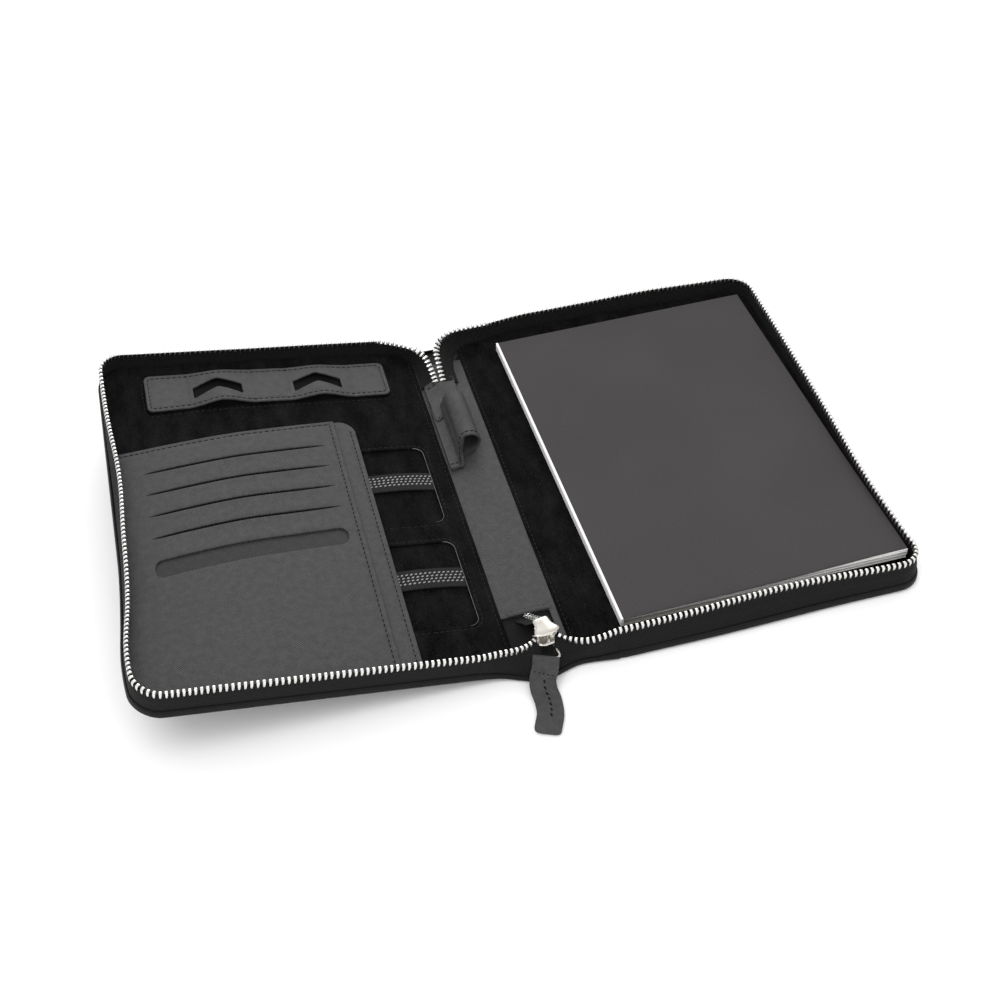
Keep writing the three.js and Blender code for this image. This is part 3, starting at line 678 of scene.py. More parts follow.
def lean(side, at, out):
    rows = LEANS[side]
    total = np.zeros(len(at))
    for wall, share, along in (
        ("outer", out[:, 0].clip(0), at[:, 1]),
        ("front", (-out[:, 1]).clip(0), at[:, 0]),
        ("rear", out[:, 1].clip(0), at[:, 0]),
    ):
        for amount, middle, width in rows[wall]:
            total += share * amount * bump_at(along, middle, width)
    return total


def rim(start=WALL_START, spacing=2.0):
    """Points on the three outer edges of a half, front to rear, and their outward normals."""
    r, w, h = CORNER, OUTER, HALF_DEPTH
    points, normals = [], []

    def run(a, b, normal):
        n = max(2, int(np.linalg.norm(np.subtract(b, a)) / spacing))
        for t in np.linspace(0, 1, n, endpoint=False):
            points.append(np.add(a, np.subtract(b, a) * t))
            normals.append(normal)

    def arc(centre, first):
        for t in np.linspace(0, 1, 16, endpoint=False):
            angle = math.radians(first + 90 * t)
            normal = (math.cos(angle), math.sin(angle))
            points.append(np.add(centre, np.multiply(normal, r)))
            normals.append(normal)

    run((start, -h), (w - r, -h), (0, -1))
    arc((w - r, r - h), -90)
    run((w, r - h), (w, h - r), (1, 0))
    arc((w - r, h - r), 0)
    run((w - r, h), (start, h), (0, 1))
    points.append(np.array((start, h), float))
    normals.append((0, 1))
    return np.array(points), np.array(normals, float)


def half_outline(start, inset):
    r = CORNER - inset
    corners = [(start, inset - HALF_DEPTH), (OUTER - inset, inset - HALF_DEPTH),
               (OUTER - inset, HALF_DEPTH - inset), (start, HALF_DEPTH - inset)]
    return rounded(corners, [0, r, r, 0], 14)


def blend_to(obj):
    """Bakes the object's world placement into its mesh."""
    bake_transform(obj)
    return obj


def ride(obj, body, *nodes, slot=None):
    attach(obj, body)
    if nodes:
        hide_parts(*nodes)
    return obj


def dress(obj, *nodes, slot=None):
    if nodes:
        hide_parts(*nodes)
    return obj


FOLD_COLUMNS = np.arange(-16, 12, 1.5)
END_BULGE = 6.0  # the case's lower edge bows out this far where the slider sits


def front_bulge(x):
    return END_BULGE * np.exp(-(((x + 3.5) / 13.0) ** 2)) + 1.2 * bump_at(x, 18, 20)


# ---------------------------------------------------------------- outer leather
def skin_outline(side):
    """Half of the outer sheet, from the spine's middle to the outer edge."""
    inset = 0.7
    ring = half_outline(-HINGE_X, inset)
    sign = -1 if side == "left" else 1
    ring = resample(ring, 2.5)
    front = ring[:, 1] < -HALF_DEPTH + 2
    ring[front, 1] -= front_bulge(sign * (ring[front, 0] + HINGE_X))
    return ring


def add_outside(side):
    sheet_line = skin_outline(side)
    skin = panel(f"{side}_outer_leather", sheet_line, 0.12, 1.15, OUTSIDE, side, edge=0.3,
                 columns=FOLD_COLUMNS, step=9)
    nodes = [f"{side}_cover"] + (["spine_cover", "spine_board"] if side == "right" else [])
    dress(skin, *nodes, slot="outer_leather")
    blend_to(skin)
    lay(skin, "laid")

    profile = [(-3.6, 0.12), (-3.2, 0.0), (-1.0, 0.0), (-0.35, 0.25), (0.0, 0.8), (0.05, 1.8),
               (-0.05, 3.2), (-0.2, 3.9), (-0.55, 4.35), (-0.95, 4.35), (-1.2, 4.0), (-1.2, 1.5),
               (-3.6, 1.4)]
    at, out = rim()
    rows = [[(*(p + n * o), z) for o, z in profile] for p, n in zip(at, out)]
    edge = grid(f"{side}_edge_binding", rows, OUTSIDE, side, sharp=40)
    ride(edge, BODIES[side], f"{side}_binding", slot="outer_leather")
    under = [(*(p - n * 2.1), 0.12) for p, n in zip(at[::2], out[::2])]
    under_thread = stitches(f"{side}_edge_stitches", [under], THREAD, side, 3.6, 2.7)
    ride(under_thread, BODIES[side], slot="outer_leather")
    for end, y0 in (("front", -1), ("rear", 1)):
        steps = np.linspace(WALL_START, -HINGE_X, 26)
        sign = -1 if side == "left" else 1
        rows = []
        for d in steps:
            bow = front_bulge(sign * (d + HINGE_X)) if end == "front" else 0.0
            settle = smooth_step((WALL_START - d) / 12)
            rows.append([(d, y0 * (HALF_DEPTH + bow + o), z * (1 - 0.28 * settle * (z > 2)))
                         for o, z in profile])
        piece = grid(f"{side}_{end}_end_binding", rows, OUTSIDE, side, sharp=40)
        dress(piece, slot="outer_leather")
        blend_to(piece)


# ---------------------------------------------------------------- zip walls, ends and teeth
TAPE_FOOT = TAPE_LOW[2]
TAPE_TOP = TEETH_HIGH[2] - 1.9
TOOTH_Z = TEETH_HIGH[2] - 1.75  # where a tooth's shoulders sit


def wall_offset(side, at, out, height):
    """How far a point of the wall at this height lies outside the tape's own line."""
    t = np.clip((height - TAPE_FOOT) / (TAPE_TOP - TAPE_FOOT), 0, 1.2)
    return 0.55 * math.sin(math.pi * min(t, 1)) - lean(side, at, out) * t**1.25


def wall_line(side, height, spacing=2.0):
    at, out = rim(spacing=spacing)
    shift = wall_offset(side, at, out, height) - WALL_INSET
    return np.column_stack([at + out * shift[:, None], np.full(len(at), height)]), out


def add_wall(side):
    heights = np.linspace(TAPE_FOOT, TAPE_TOP, 9)
    half = 0.4
    columns = [(h, half) for h in heights] + [(h, -half) for h in heights[::-1]]
    layers = []
    for h, o in columns:
        line, out = wall_line(side, h)
        layers.append(line + np.column_stack([out * o, np.zeros(len(out))]))
    rows = np.stack(layers, 1)
    wall = grid(f"{side}_tape_wall", rows, TAPE, side, sharp=60)
    ride(wall, BODIES[side], f"{side}_zip_tape", slot="zip_tape")


# Zip rows beyond the straight walls, in the row frame: x, y, z, then the way a tooth points.
UP_LEFT = (SIN, 0, COS)
ENDS = {
    ("left", "rear"): [
        (-20.0, 110.6, 17.4, 0.45, -0.1, 0.88), (-12.3, 106.4, 15.8, 0.7, -0.1, 0.7),
        (-7.9, 101.0, 13.8, 0.95, 0, 0.3), (-6.2, 95.0, 10.7, 0.98, 0, 0.15),
        (-5.4, 89.5, 8.0, 0.98, 0, 0.1), (-5.2, 85.0, 6.6, 0.98, 0, 0.1)],
    ("right", "rear"): [
        (15.0, 116.2, 16.0, 0, 0, 1), (8.2, 114.4, 15.6, -0.2, -0.1, 0.95),
        (3.0, 110.6, 14.8, -0.7, -0.2, 0.7), (-0.2, 104.5, 13.2, -0.95, 0, 0.3),
        (-0.9, 97.0, 11.0, -0.98, 0, 0.15), (-1.0, 90.0, 8.2, -0.98, 0, 0.1),
        (-1.0, 85.0, 6.6, -0.98, 0, 0.1)],
    ("left", "front"): [
        (-22.3, -116.6, 16.6, 0.25, 0, 0.97), (-15.0, -116.1, 15.4, 0.5, 0.1, 0.86),
        (-9.8, -114.6, 14.3, 0.7, 0.35, 0.62), (-5.8, -112.2, 13.9, 0.8, 0.5, 0.35),
        (-2.6, -108.6, 13.6, 0.85, 0.5, 0.1)],
    ("right", "front"): [
        (26.0, -118.5, 14.4, 0, 0, 1), (20.4, -118.3, 13.8, -0.15, 0, 0.98),
        (15.8, -116.8, 13.2, -0.4, 0.1, 0.9), (11.4, -114.2, 12.8, -0.7, 0.35, 0.62),
        (8.0, -111.3, 13.0, -0.8, 0.5, 0.35), (5.2, -108.4, 13.4, -0.85, 0.5, 0.1)],
}


def end_line(side, end, count=60):
    """The row of teeth from the end of a wall to the spine's middle: places and ways up."""
    line, _ = wall_line(side, TOOTH_Z)
    tail = line[:14][::-1] if end == "front" else line[-14:]
    tail = tail[[0, 7, 13]]
    world = PLACES[side](tail)
    up = UP_LEFT if side == "left" else (0, 0, 1)
    points = [(*p, *up) for p in world[2:]] + ENDS[(side, end)]
    made = spline(points, count)
    ways = made[:, 3:] / np.linalg.norm(made[:, 3:], axis=1)[:, None]
    return made[:, :3], ways


def tooth_template():
    """One zip tooth: legs that straddle the tape, shoulders, and a rounded head."""
    half = [(0.5, -1.7), (1.0, -1.7), (1.12, -0.7), (1.2, 0.1), (1.16, 0.6), (1.0, 1.1),
            (0.66, 1.55), (0.0, 1.72)]
    outline = half + [(-x, y) for x, y in half[-2::-1]] + [(-0.5, -0.4), (0.5, -0.4)]
    bm = bmesh.new()
    face = bm.faces.new([bm.verts.new((0, x, y)) for x, y in outline])
    made = bmesh.ops.extrude_face_region(bm, geom=[face])
    for v in made["geom"]:
        if isinstance(v, bmesh.types.BMVert):
            v.co.x = 1.0
    bm.normal_update()
    for v in bm.verts:
        grow = 1.4 if v.co.z > 0.5 else 1.05 if v.co.z > -0.3 else 0.6
        v.co.x = (v.co.x - 0.5) * grow
    rims = [e for e in bm.edges if len(e.link_faces) == 2 and e.calc_face_angle(0) > 0.9]
    bmesh.ops.bevel(bm, geom=rims, offset=0.2, segments=2, affect="EDGES", profile=0.5)
    bmesh.ops.triangulate(bm, faces=bm.faces[:])
    verts = np.array([v.co[:] for v in bm.verts])
    faces = np.array([[v.index for v in f.verts] for f in bm.faces])
    bm.free()
    return verts, faces


TOOTH = tooth_template()


def add_teeth(name, line, ways, side, phase=0.5):
    gone = run_of(line)
    count = int(round(gone[-1] / TOOTH_PITCH))
    verts, faces = [], []
    template, tris = TOOTH
    for k in range(count):
        at = (k + phase) * gone[-1] / count
        p = point_at(at, gone, line)
        t = unit(point_at(at + 0.4, gone, line) - point_at(at - 0.4, gone, line))
        w = point_at(at, gone, ways)
        w = unit(w - t * (w @ t))
        o = np.cross(w, t)
        roll = rng.uniform(-0.05, 0.05)
        t2 = t * math.cos(roll) + o * math.sin(roll)
        o2 = np.cross(w, t2)
        start = len(verts) * len(template)
        verts.append(p + template[:, :1] * t2 + template[:, 1:2] * o2 + template[:, 2:] * w)
        faces.append(tris + start)
    return build(name, np.concatenate(verts), np.concatenate(faces), TEETH, side, sharp=35)


def add_zip(side):
    add_wall(side)
    line, _ = wall_line(side, TOOTH_Z, 1.0)
    ways = np.tile((0.0, 0.0, 1.0), (len(line), 1))
    row = add_teeth(f"{side}_zip_row", line, ways, side)
    ride(row, BODIES[side], f"{side}_zip_teeth", slot="zip_metal")
    for end in ("front", "rear"):
        line, ways = end_line(side, end)
        row = add_teeth(f"{side}_{end}_zip_row", line, ways, "spine")
        replaced = {("left", "rear"): ["zip_head"]}.get((side, end), [])
        dress(row, *replaced, slot="zip_metal")
        blend_to(row)
        add_end_tape(side, end, line, ways)


def add_end_tape(side, end, line, ways):
    """The tape between an end row of teeth and the edge of the case below it."""
    sign = -1 if side == "left" else 1
    y0 = -1 if end == "front" else 1
    count = len(line)
    top = line - ways * 1.3
    if end == "front":
        d_line = np.linspace(WALL_START, 0.4 - HINGE_X, count)
        foot_y = [-(HALF_DEPTH - 1.6 + front_bulge(sign * (d + HINGE_X))) for d in d_line]
        foot = np.column_stack([d_line, foot_y, np.full(count, 2.4)])
    else:
        d_line = np.linspace(WALL_START, 4.2 - HINGE_X, count)
        inward = smooth_step((WALL_START - d_line) / 26)
        foot = np.column_stack(
            [d_line, np.full(count, HALF_DEPTH - 1.7) - inward * 3.0, np.full(count, 2.4)]
        )
    foot = PLACES[side](foot)
    if end == "rear":
        sink = smooth_step(np.linspace(-0.6, 1.0, count))[:, None]
        under = line * [1, 1, 0] + [0, 0, SPINE_TOP + 0.45]
        under[:, 0] += sign * 8.5
        foot = foot * (1 - sink) + under * sink
    rows = []
    for a, b, w in zip(foot, top, ways):
        layer = []
        for t in np.linspace(0, 1, 9):
            p = a + (b - a) * t
            p[1] += y0 * 0.7 * math.sin(math.pi * t)
            layer.append(p)
        rows.append(layer)
    rows = np.array(rows)
    normal = np.cross(np.gradient(rows, axis=0), np.gradient(rows, axis=1))
    normal /= np.linalg.norm(normal, axis=2)[:, :, None] + 1e-12
    both = np.concatenate([rows + normal * 0.4, (rows - normal * 0.4)[:, ::-1]], 1)
    tape = grid(f"{side}_{end}_end_tape", both, TAPE, "spine", sharp=60)
    node = {"front": "zip_web_front", "rear": "zip_web_rear"}[end]
    dress(tape, *([node] if side == "left" else []), slot="zip_tape")
    blend_to(tape)


# ---------------------------------------------------------------- linings and suede
LINING_TOP = node_box("right_lining")[1][2]
WINDOW_TOP = node_box("window_panel")[1][2]
LAYER_INSET = OUTER - node_box("right_lining")[1][0]
SPINE_TOP = node_box("spine_lining")[1][2]


def ramp_in(low, high, start, end):
    """A height that climbs smoothly from `low` at the spine to `high` inside a half."""
    return lambda d, y: low + (high - low) * smooth_step((d - start) / (end - start))


def on_top(surface, line, rise=0.05):
    """The line laid on a surface given as a function of (d, y)."""
    line = resample(np.asarray(line, float), 1.5, closed=False)
    return np.column_stack([line, surface(line[:, 0], line[:, 1]) + rise])


def closed(ring):
    return np.vstack([ring, ring[:1]])


WINDOWS = [(y, node_box("elastic_" + n)) for y, n in ((7.5, "rear"), (-62.5, "front"))]
WINDOW_NEAR, WINDOW_FAR, WINDOW_LONG, WINDOW_TURN = 10.0, 50.0, 56.0, 5.0


def window_ring(middle, grow=0.0):
    a, b = WINDOW_NEAR - grow, WINDOW_FAR + grow
    low, high = middle - WINDOW_LONG / 2 - grow, middle + WINDOW_LONG / 2 + grow
    return rounded([(a, low), (b, low), (b, high), (a, high)], WINDOW_TURN + grow, 8)


def add_linings():
    ring = half_outline(-2.0, LAYER_INSET + 0.2)
    low = panel("left_suede_floor", ring, ramp_in(3.3, 4.3, -3, 8), 0.5, SUEDE, "left",
                columns=FOLD_COLUMNS, step=6)
    dress(low, "left_lining", slot="suede")
    blend_to(low)
    lay(low, "laid", "left_stiff_board")

    ring = half_outline(-1.2, LAYER_INSET + 0.15)
    base = ramp_in(3.95, WINDOW_TOP - 0.7, -2, 8)
    holes = [window_ring(y) for y, _ in WINDOWS]
    seams = [closed(window_ring(y, 2.0)) for y, _ in WINDOWS]
    edge_line = [(0.6, -104), (0.6, 112)]
    outline = organiser_ring(1.5)
    marks = [(s, 0.22, 0.5) for s in seams] + [(np.array(edge_line), 0.2, 0.5),
                                               (closed(outline), 0.15, 0.5)]
    top = panel("left_suede_panel", ring, base, 0.7, SUEDE, "left", holes=holes, creases=marks,
                columns=FOLD_COLUMNS, step=5)
    dress(top, "window_panel", slot="suede")
    blend_to(top)
    lay(top, "stretched", low)
    height = lambda d, y: base(d, y) + 0.62
    lines = [on_top(height, s, -0.02) for s in seams + [closed(outline)]]
    thread = stitches("left_suede_stitches", lines, SUEDE_THREAD, "left", 3.0, 2.2, 0.2)
    ride(thread, "pocket_half", slot="suede")
    line = on_top(height, edge_line, -0.02)
    thread = stitches("left_fold_stitches", [line], SUEDE_THREAD, "left", 3.0, 2.2, 0.2)
    dress(thread, slot="suede")
    blend_to(thread)
    for i, ((y, _), hole) in enumerate(zip(WINDOWS, holes)):
        keep = hole[(hole[:, 0] < WINDOW_NEAR + 12)]
        order = np.argsort(np.arctan2(keep[:, 1] - y, -(keep[:, 0] - WINDOW_NEAR - 14)))
        path = on_top(lambda d, y_: base(d, y_) + 0.34, keep[order], 0.0)
        tangent = np.gradient(path, axis=0)
        tangent /= np.linalg.norm(tangent, axis=1)[:, None]
        across = np.cross(tangent, (0, 0, 1.0))
        rows = [[p + a * 0.16 * math.cos(t) + np.array((0, 0, 0.3 * math.sin(t)))
                 for t in circle(8)]
                for p, a in zip(path, across)]
        rim_piece = grid(f"window_{i + 1}_cut_edge", rows, CUT_EDGE, "left")
        ride(rim_piece, "pocket_half", slot="suede")

    ring = half_outline(-2.6, LAYER_INSET + 0.15)
    base = lambda d, y: (ramp_in(3.4, 4.15, -3, 1)(d, y) - 0.35 * bump_at(d, 2.2, 1.3)
                         + 0.12 * np.sin(d * 0.11 + 1) * np.sin(y * 0.05))
    edge_line = [(-0.9, -112), (-0.9, 113)]
    floor = panel("right_suede_floor", ring, base, 0.5, SUEDE, "right",
                  creases=[(np.array(edge_line), 0.2, 0.5)], columns=FOLD_COLUMNS, step=5)
    dress(floor, "right_lining", slot="suede")
    blend_to(floor)
    lay(floor, "laid", "right_stiff_board")
    line = on_top(lambda d, y: base(d, y) + 0.42, edge_line, 0.0)
    thread = stitches("right_fold_stitches", [line], SUEDE_THREAD, "right", 3.0, 2.2, 0.2)
    dress(thread, slot="suede")
    blend_to(thread)

    for side in ("left", "right"):
        ring = half_outline(6.5, LAYER_INSET + 0.3)
        foam = panel(f"{side}_foam_layer", ring, 1.45, 0.8, FOAM, side, step=30)
        ride(foam, BODIES[side], f"{side}_foam", slot="foam")
        board = panel(f"{side}_stiff_board", ring, 2.4, 1.2, GREY_BOARD, side, step=30, edge=0.15)
        ride(board, BODIES[side], f"{side}_board", slot="grey_board")


def add_spine():
    low, high = node_box("spine_lining")
    notch = 9.75
    rear = node_box("notch_trim")[0][1]
    front, back = low[1] - 1.5, high[1] - 10
    corners = [(-14.4, rear), (notch, rear), (notch, front + 8),
               (13.4, front + 8), (13.4, back), (-14.4, back)]
    outline = rounded(corners, [0, 1.0, 0, 0, 0, 0])
    sag = lambda x, y: 0.12 * np.sin(y * 0.045) + 0.10 * np.sin(y * 0.11 + x * 0.2)
    lift = lambda x, y: sag(x, y) - 0.25 * smooth_step((abs(x) - 10) / 4)
    piece = panel("spine_leather", outline, low[2] - 0.1, 0.95, LEATHER, "spine", lift=lift,
                  step=3, edge=0.35, spacing=2.0)
    ride(piece, "spine", "spine_lining", slot="saffiano_leather")
    lay(piece, "laid", "right_outer_leather")

    wide = notch + 0.6
    rows = []
    for x in np.linspace(-wide, wide, 14):
        arc = 0.15 * math.cos(x / wide * 1.5)
        rows.append([(x, rear + 1.1 + 1.35 * math.cos(t), SPINE_TOP + 0.55 + arc + 0.5 * math.sin(t))
                     for t in circle(12)])
    trim = grid("notch_folded_edge", rows, LEATHER, "spine")
    ride(trim, "spine", "notch_trim", slot="saffiano_leather")
    line = [(-wide + 0.6, rear + 2.3, SPINE_TOP + 0.72), (wide - 0.6, rear + 2.3, SPINE_TOP + 0.72)]
    thread = stitches("notch_stitches", [line], THREAD, "spine", 3.0, 2.3)
    ride(thread, "spine", slot="saffiano_leather")
    # black tape on both sides of the chain, seen through the opening
    ring = [(-16.5, -116.5), (13.4, -116.5), (13.4, -108), (9.6, -108), (9.6, rear + 1.5),
            (-16.5, rear + 1.5)]
    dip = lambda x, y: 0.9 * bump_at(x, -1.2, 4) + 0.15 * np.sin(y * 0.4)
    bed = panel("notch_tape_bed", ring, 1.6, 0.9, TAPE, "spine", lift=dip, step=2)
    ride(bed, "spine", slot="zip_tape")


def add_chain_tail():
    """The closed teeth that run from the slider down through the notch."""
    centre = spline([(1.2, -99.5, 12.2), (0.4, -95.5, 9.2), (-0.8, -91.5, 5.6),
                     (-1.4, -87.5, 3.2), (-1.6, -84.5, 2.6)], 40)
    gone = run_of(centre)
    verts, faces = [], []
    template, tris = TOOTH
    count = int(gone[-1] / (TOOTH_PITCH / 2))
    for k in range(count):
        at = (k + 0.5) * gone[-1] / count
        p = point_at(at, gone, centre)
        t = unit(point_at(at + 0.5, gone, centre) - p)
        w = np.array((1.0 if k % 2 else -1.0, 0, 0))
        w = unit(w - t * (w @ t))
        o = np.cross(w, t)
        verts.append(p - w * 0.75 + template[:, :1] * t * 0.9 + template[:, 1:2] * o
                     + template[:, 2:] * w)
        faces.append(tris + k * len(template))
    chain = build("closed_chain_front", np.concatenate(verts), np.concatenate(faces), TEETH, "spine", sharp=35)
    ride(chain, "spine", "zip_tail", slot="zip_metal")
    cloth = []
    for p in centre[::2]:
        cloth.append([(p[0] - 6.5, p[1], p[2] - 0.9), (p[0], p[1], p[2] - 0.35), (p[0] + 6.5, p[1], p[2] - 0.9),
                      (p[0] + 6.5, p[1], p[2] - 1.5), (p[0], p[1], p[2] - 1.0), (p[0] - 6.5, p[1], p[2] - 1.5)])
    uv = [(p[1], j * 6.5) for p in centre[::2] for j in range(6)]
    tape = grid("closed_chain_tape", cloth, TAPE, "spine", uv=uv, sharp=60)
    ride(tape, "spine", slot="zip_tape")


# ---------------------------------------------------------------- zip end patch and pen loop
LOOP_LOW, LOOP_HIGH = node_box("pen_loop")
LOOP_FRONT, LOOP_REAR = LOOP_LOW[1], LOOP_HIGH[1]
LOOP_WALL = 1.1
LOOP_R = (LOOP_HIGH[2] - SPINE_TOP) / 2 - 0.35
LOOP_X = LOOP_HIGH[0] - LOOP_R - 0.5


def loop_section(inner):
    """The pen loop's leather in section, from the flap's lower layer round to its upper one."""
    r = LOOP_R - (LOOP_WALL if inner else 0)
    cz = SPINE_TOP + 0.25 + LOOP_R
    left = -13.0
    pts = []
    if inner:
        pts += [(x, SPINE_TOP + 0.25 + LOOP_WALL * 0.98) for x in np.linspace(left, LOOP_X - 4.6, 7)]
        start, end = -112, 205
    else:
        pts += [(x, SPINE_TOP + 0.25) for x in np.linspace(left, LOOP_X - 3.0, 7)]
        start, end = -100, 178
    for a in np.linspace(start, end, 30):
        t = math.radians(a)
        pts.append((LOOP_X + r * math.cos(t), cz + r * math.sin(t)))
    x0, z0 = pts[-1]
    z1 = SPINE_TOP + 0.25 + (LOOP_WALL * 1.02 if inner else 2 * LOOP_WALL)
    x1 = x0 - (0.4 if inner else 1.3)
    for t in np.linspace(0.15, 1, 7):
        s = smooth_step(np.array(t))
        pts.append((x0 + (x1 - 0.9 - x0) * t, z0 + (z1 - z0) * float(s)))
    x0 = pts[-1][0]
    pts += [(x, z1) for x in np.linspace(x0 - 0.6, left, 6)]
    return np.array(pts)


def add_pen_loop():
    outer, inner = loop_section(False), loop_section(True)
    share = np.linspace(0, 1, len(outer))
    set_back = 12.0  # the mouth's top edge stands this far behind its two ends
    front = LOOP_FRONT - 4.0 + set_back * (
        smooth_step((share - 0.02) / 0.2) - smooth_step((share - 0.60) / 0.28))
    rear = LOOP_REAR - 1.0 + 1.2 * np.sin(share * 3.0)
    rows = []
    for t in np.linspace(0, 1, 34):
        y = front + (rear - front) * t
        pinch = 1 - 0.05 * math.sin(t * math.pi * 2.2)
        for_out = np.column_stack([outer[:, 0], y, SPINE_TOP + (outer[:, 1] - SPINE_TOP) * pinch])
        for_in = np.column_stack([inner[:, 0], y, SPINE_TOP + (inner[:, 1] - SPINE_TOP) * pinch])
        rows.append(np.concatenate([for_out, for_in[::-1]]))
    rows = np.array(rows)
    arc = run_of(outer)
    arc = np.concatenate([arc, arc[::-1]])
    uv = [(a, y) for row in rows for a, y in zip(arc, row[:, 1])]
    loop = grid("pen_loop_leather", rows, LEATHER, "spine", uv=uv, sharp=55)
    ride(loop, "spine", "pen_loop", slot="saffiano_leather")

    middle = (outer + inner) / 2
    grow = outer - middle
    grow /= np.linalg.norm(grow, axis=1)[:, None] + 1e-9
    from_mouth = 2.4
    line = np.column_stack([outer[:, 0] + grow[:, 0] * 0.05, front + from_mouth,
                            outer[:, 1] + grow[:, 1] * 0.05])
    thread = stitches("pen_loop_stitches", [line[8:]], THREAD, "spine", 2.8, 2.1, 0.22)
    ride(thread, "spine", slot="saffiano_leather")
    # the folded edge along the mouth, a rounded bead
    path = np.column_stack([middle[:, 0], front - 0.05, middle[:, 1]])
    rows = []
    for p, g in zip(path, grow):
        rows.append([p + np.array((g[0] * 0.72 * math.cos(a), 0.55 * math.sin(a), g[1] * 0.72 * math.cos(a)))
                     for a in circle(10)])
    bead = grid("pen_loop_mouth_edge", rows, LEATHER, "spine")
    ride(bead, "spine", slot="saffiano_leather")


def add_patch():
    low, high = node_box("zip_end_patch")
    x0, x1 = low[0] + 0.7, high[0] - 2.4
    rear = lambda x: 87.4 + (x - (x0 + x1) / 2) * 0.30 + 0.9 * math.sin((x - x0) / (x1 - x0) * math.pi)
    outline = [(x, rear(x)) for x in np.linspace(x0, x1, 9)] + [(x1 - 0.3, 71.5)]
    outline += [(3.0, 70.0), (-2.0, 68.6), (-5.0, 67.4), (-6.2, 64.5), (-6.6, 60.5), (-8.0, 56.6),
                (-10.2, 54.4), (-12.0, 54.6), (x0 - 0.2, 57.5)]
    outline = rounded(outline[::-1], 1.5, 4)
    dome = lambda x, y: (2.3 * np.exp(-(((x + 3) / 5.2) ** 2)) * smooth_step((y - 74) / 14)
                         + 0.5 * smooth_step((y - 66) / 6) + 0.25 * bump_at(y, 78, 5))
    base = lambda x, y: SPINE_TOP + 0.2 + 2.15 * smooth_step((72.5 - y) / 3) * (x < 9)
    seam = np.array([(x, rear(x) - 2.9) for x in np.linspace(x0 + 1, x1 - 1, 9)])
    patch = panel("zip_end_patch_leather", outline, base, 0.95, LEATHER, "spine", lift=dome,
                  under=True, creases=[(seam, 0.3, 0.7)], step=1.6, edge=0.4, spacing=1.2)
    ride(patch, "spine", "zip_end_patch", slot="saffiano_leather")
    lay(patch, "laid", "spine_leather")
    height = lambda x, y: base(x, y) + dome(x, y) + 0.78
    edge = np.array([(-5.4, 68.4), (-7.2, 64.0), (-7.6, 60.0), (-9.0, 57.0), (-11.2, 55.8)])
    thread = stitches("zip_end_patch_stitches", [on_top(height, seam), on_top(height, edge, 0.12)],
                      THREAD, "spine", 2.9, 2.2, 0.24)
    ride(thread, "spine", slot="saffiano_leather")
    rows = []
    for x in np.linspace(x0 + 0.3, x1 - 1.0, 18):
        y = rear(x)
        z = float(height(np.array(x), np.array(y))) + 0.1
        rows.append([(x, y - 0.5 + 1.0 * math.cos(t), z - 0.25 + 0.75 * math.sin(t))
                     for t in circle(10)])
    roll = grid("zip_end_patch_roll", rows, LEATHER, "spine")
    ride(roll, "spine", slot="saffiano_leather")


# ---------------------------------------------------------------- pockets on the left half
SLIP_LOW, SLIP_HIGH = node_box("slip_pocket")
CARD_LOW, CARD_HIGH = node_box("card_panel")
SLOPE = math.tan(math.radians(4.5))
SLIT_MIDDLE = 109.5
POCKET_REAR = 54.0
LIPS = [35.7 - 15.2 * i for i in range(4)]
THUMB_Y = -30.5


def slant(d, y):
    return y - (d - SLIT_MIDDLE) * SLOPE


def pillow(d, y):
    """The pockets lie flatter towards the wall and puff a little between their seams."""
    sag = -2.3 * np.exp(-(SLIP_HIGH[0] - d) / 18.0)
    puff = 0.5 * np.sin(np.clip((d - CARD_LOW[0]) / (SLIP_HIGH[0] - CARD_LOW[0]), 0, 1) * math.pi)
    return sag + puff + 0.15 * np.sin(d * 0.07 + y * 0.05)


def pocket_ring(edge, inset, turn):
    far, front = SLIP_HIGH[0] - inset, SLIP_LOW[1] + inset
    corners = [(edge, front), (far, front), (far, slant(far, POCKET_REAR - inset)),
               (edge, slant(edge, POCKET_REAR - inset))]
    return rounded(corners, [1.0, CORNER - LAYER_INSET - inset, 1.0, turn], 8)


def lip_relief(d, y):
    """Each slit's front lip stands a little proud of the leather behind it."""
    rise = np.zeros_like(d)
    half = 48.0
    across = np.clip(1 - ((d - SLIT_MIDDLE) / half) ** 2, 0, 1) ** 0.5
    for lip in LIPS:
        gap = y - slant(d, lip)
        rise += across * (0.55 * np.exp(-((gap / 2.6) ** 2)) * (gap < 0)
                          - 0.30 * np.exp(-((gap / 2.0) ** 2)) * (gap >= 0))
    gap = y - slant(d, THUMB_Y + 6)
    rise += 0.35 * across * np.exp(-((gap / 3.0) ** 2)) * (gap > 0)
    return rise


def lens(lip, half=48.0, wide=2.0):
    """A slit that gapes a little in its middle."""
    t = np.linspace(-1, 1, 25)
    gape = wide * (1 - t**4) ** 0.5 + 0.12
    d = SLIT_MIDDLE + t * half
    back = np.column_stack([d, slant(d, lip) + gape * 0.5])
    front = np.column_stack([d, slant(d, lip) - gape * 0.5])
    return np.vstack([front, back[::-1]])


def thumb_ring():
    half, rise = 48.0, 5.6
    ring = rounded([(-half, -rise), (half, -rise), (half, rise), (-half, rise)], 4.6, 8)
    d = ring[:, 0] + SLIT_MIDDLE
    return np.column_stack([d, slant(d, ring[:, 1] + THUMB_Y)])


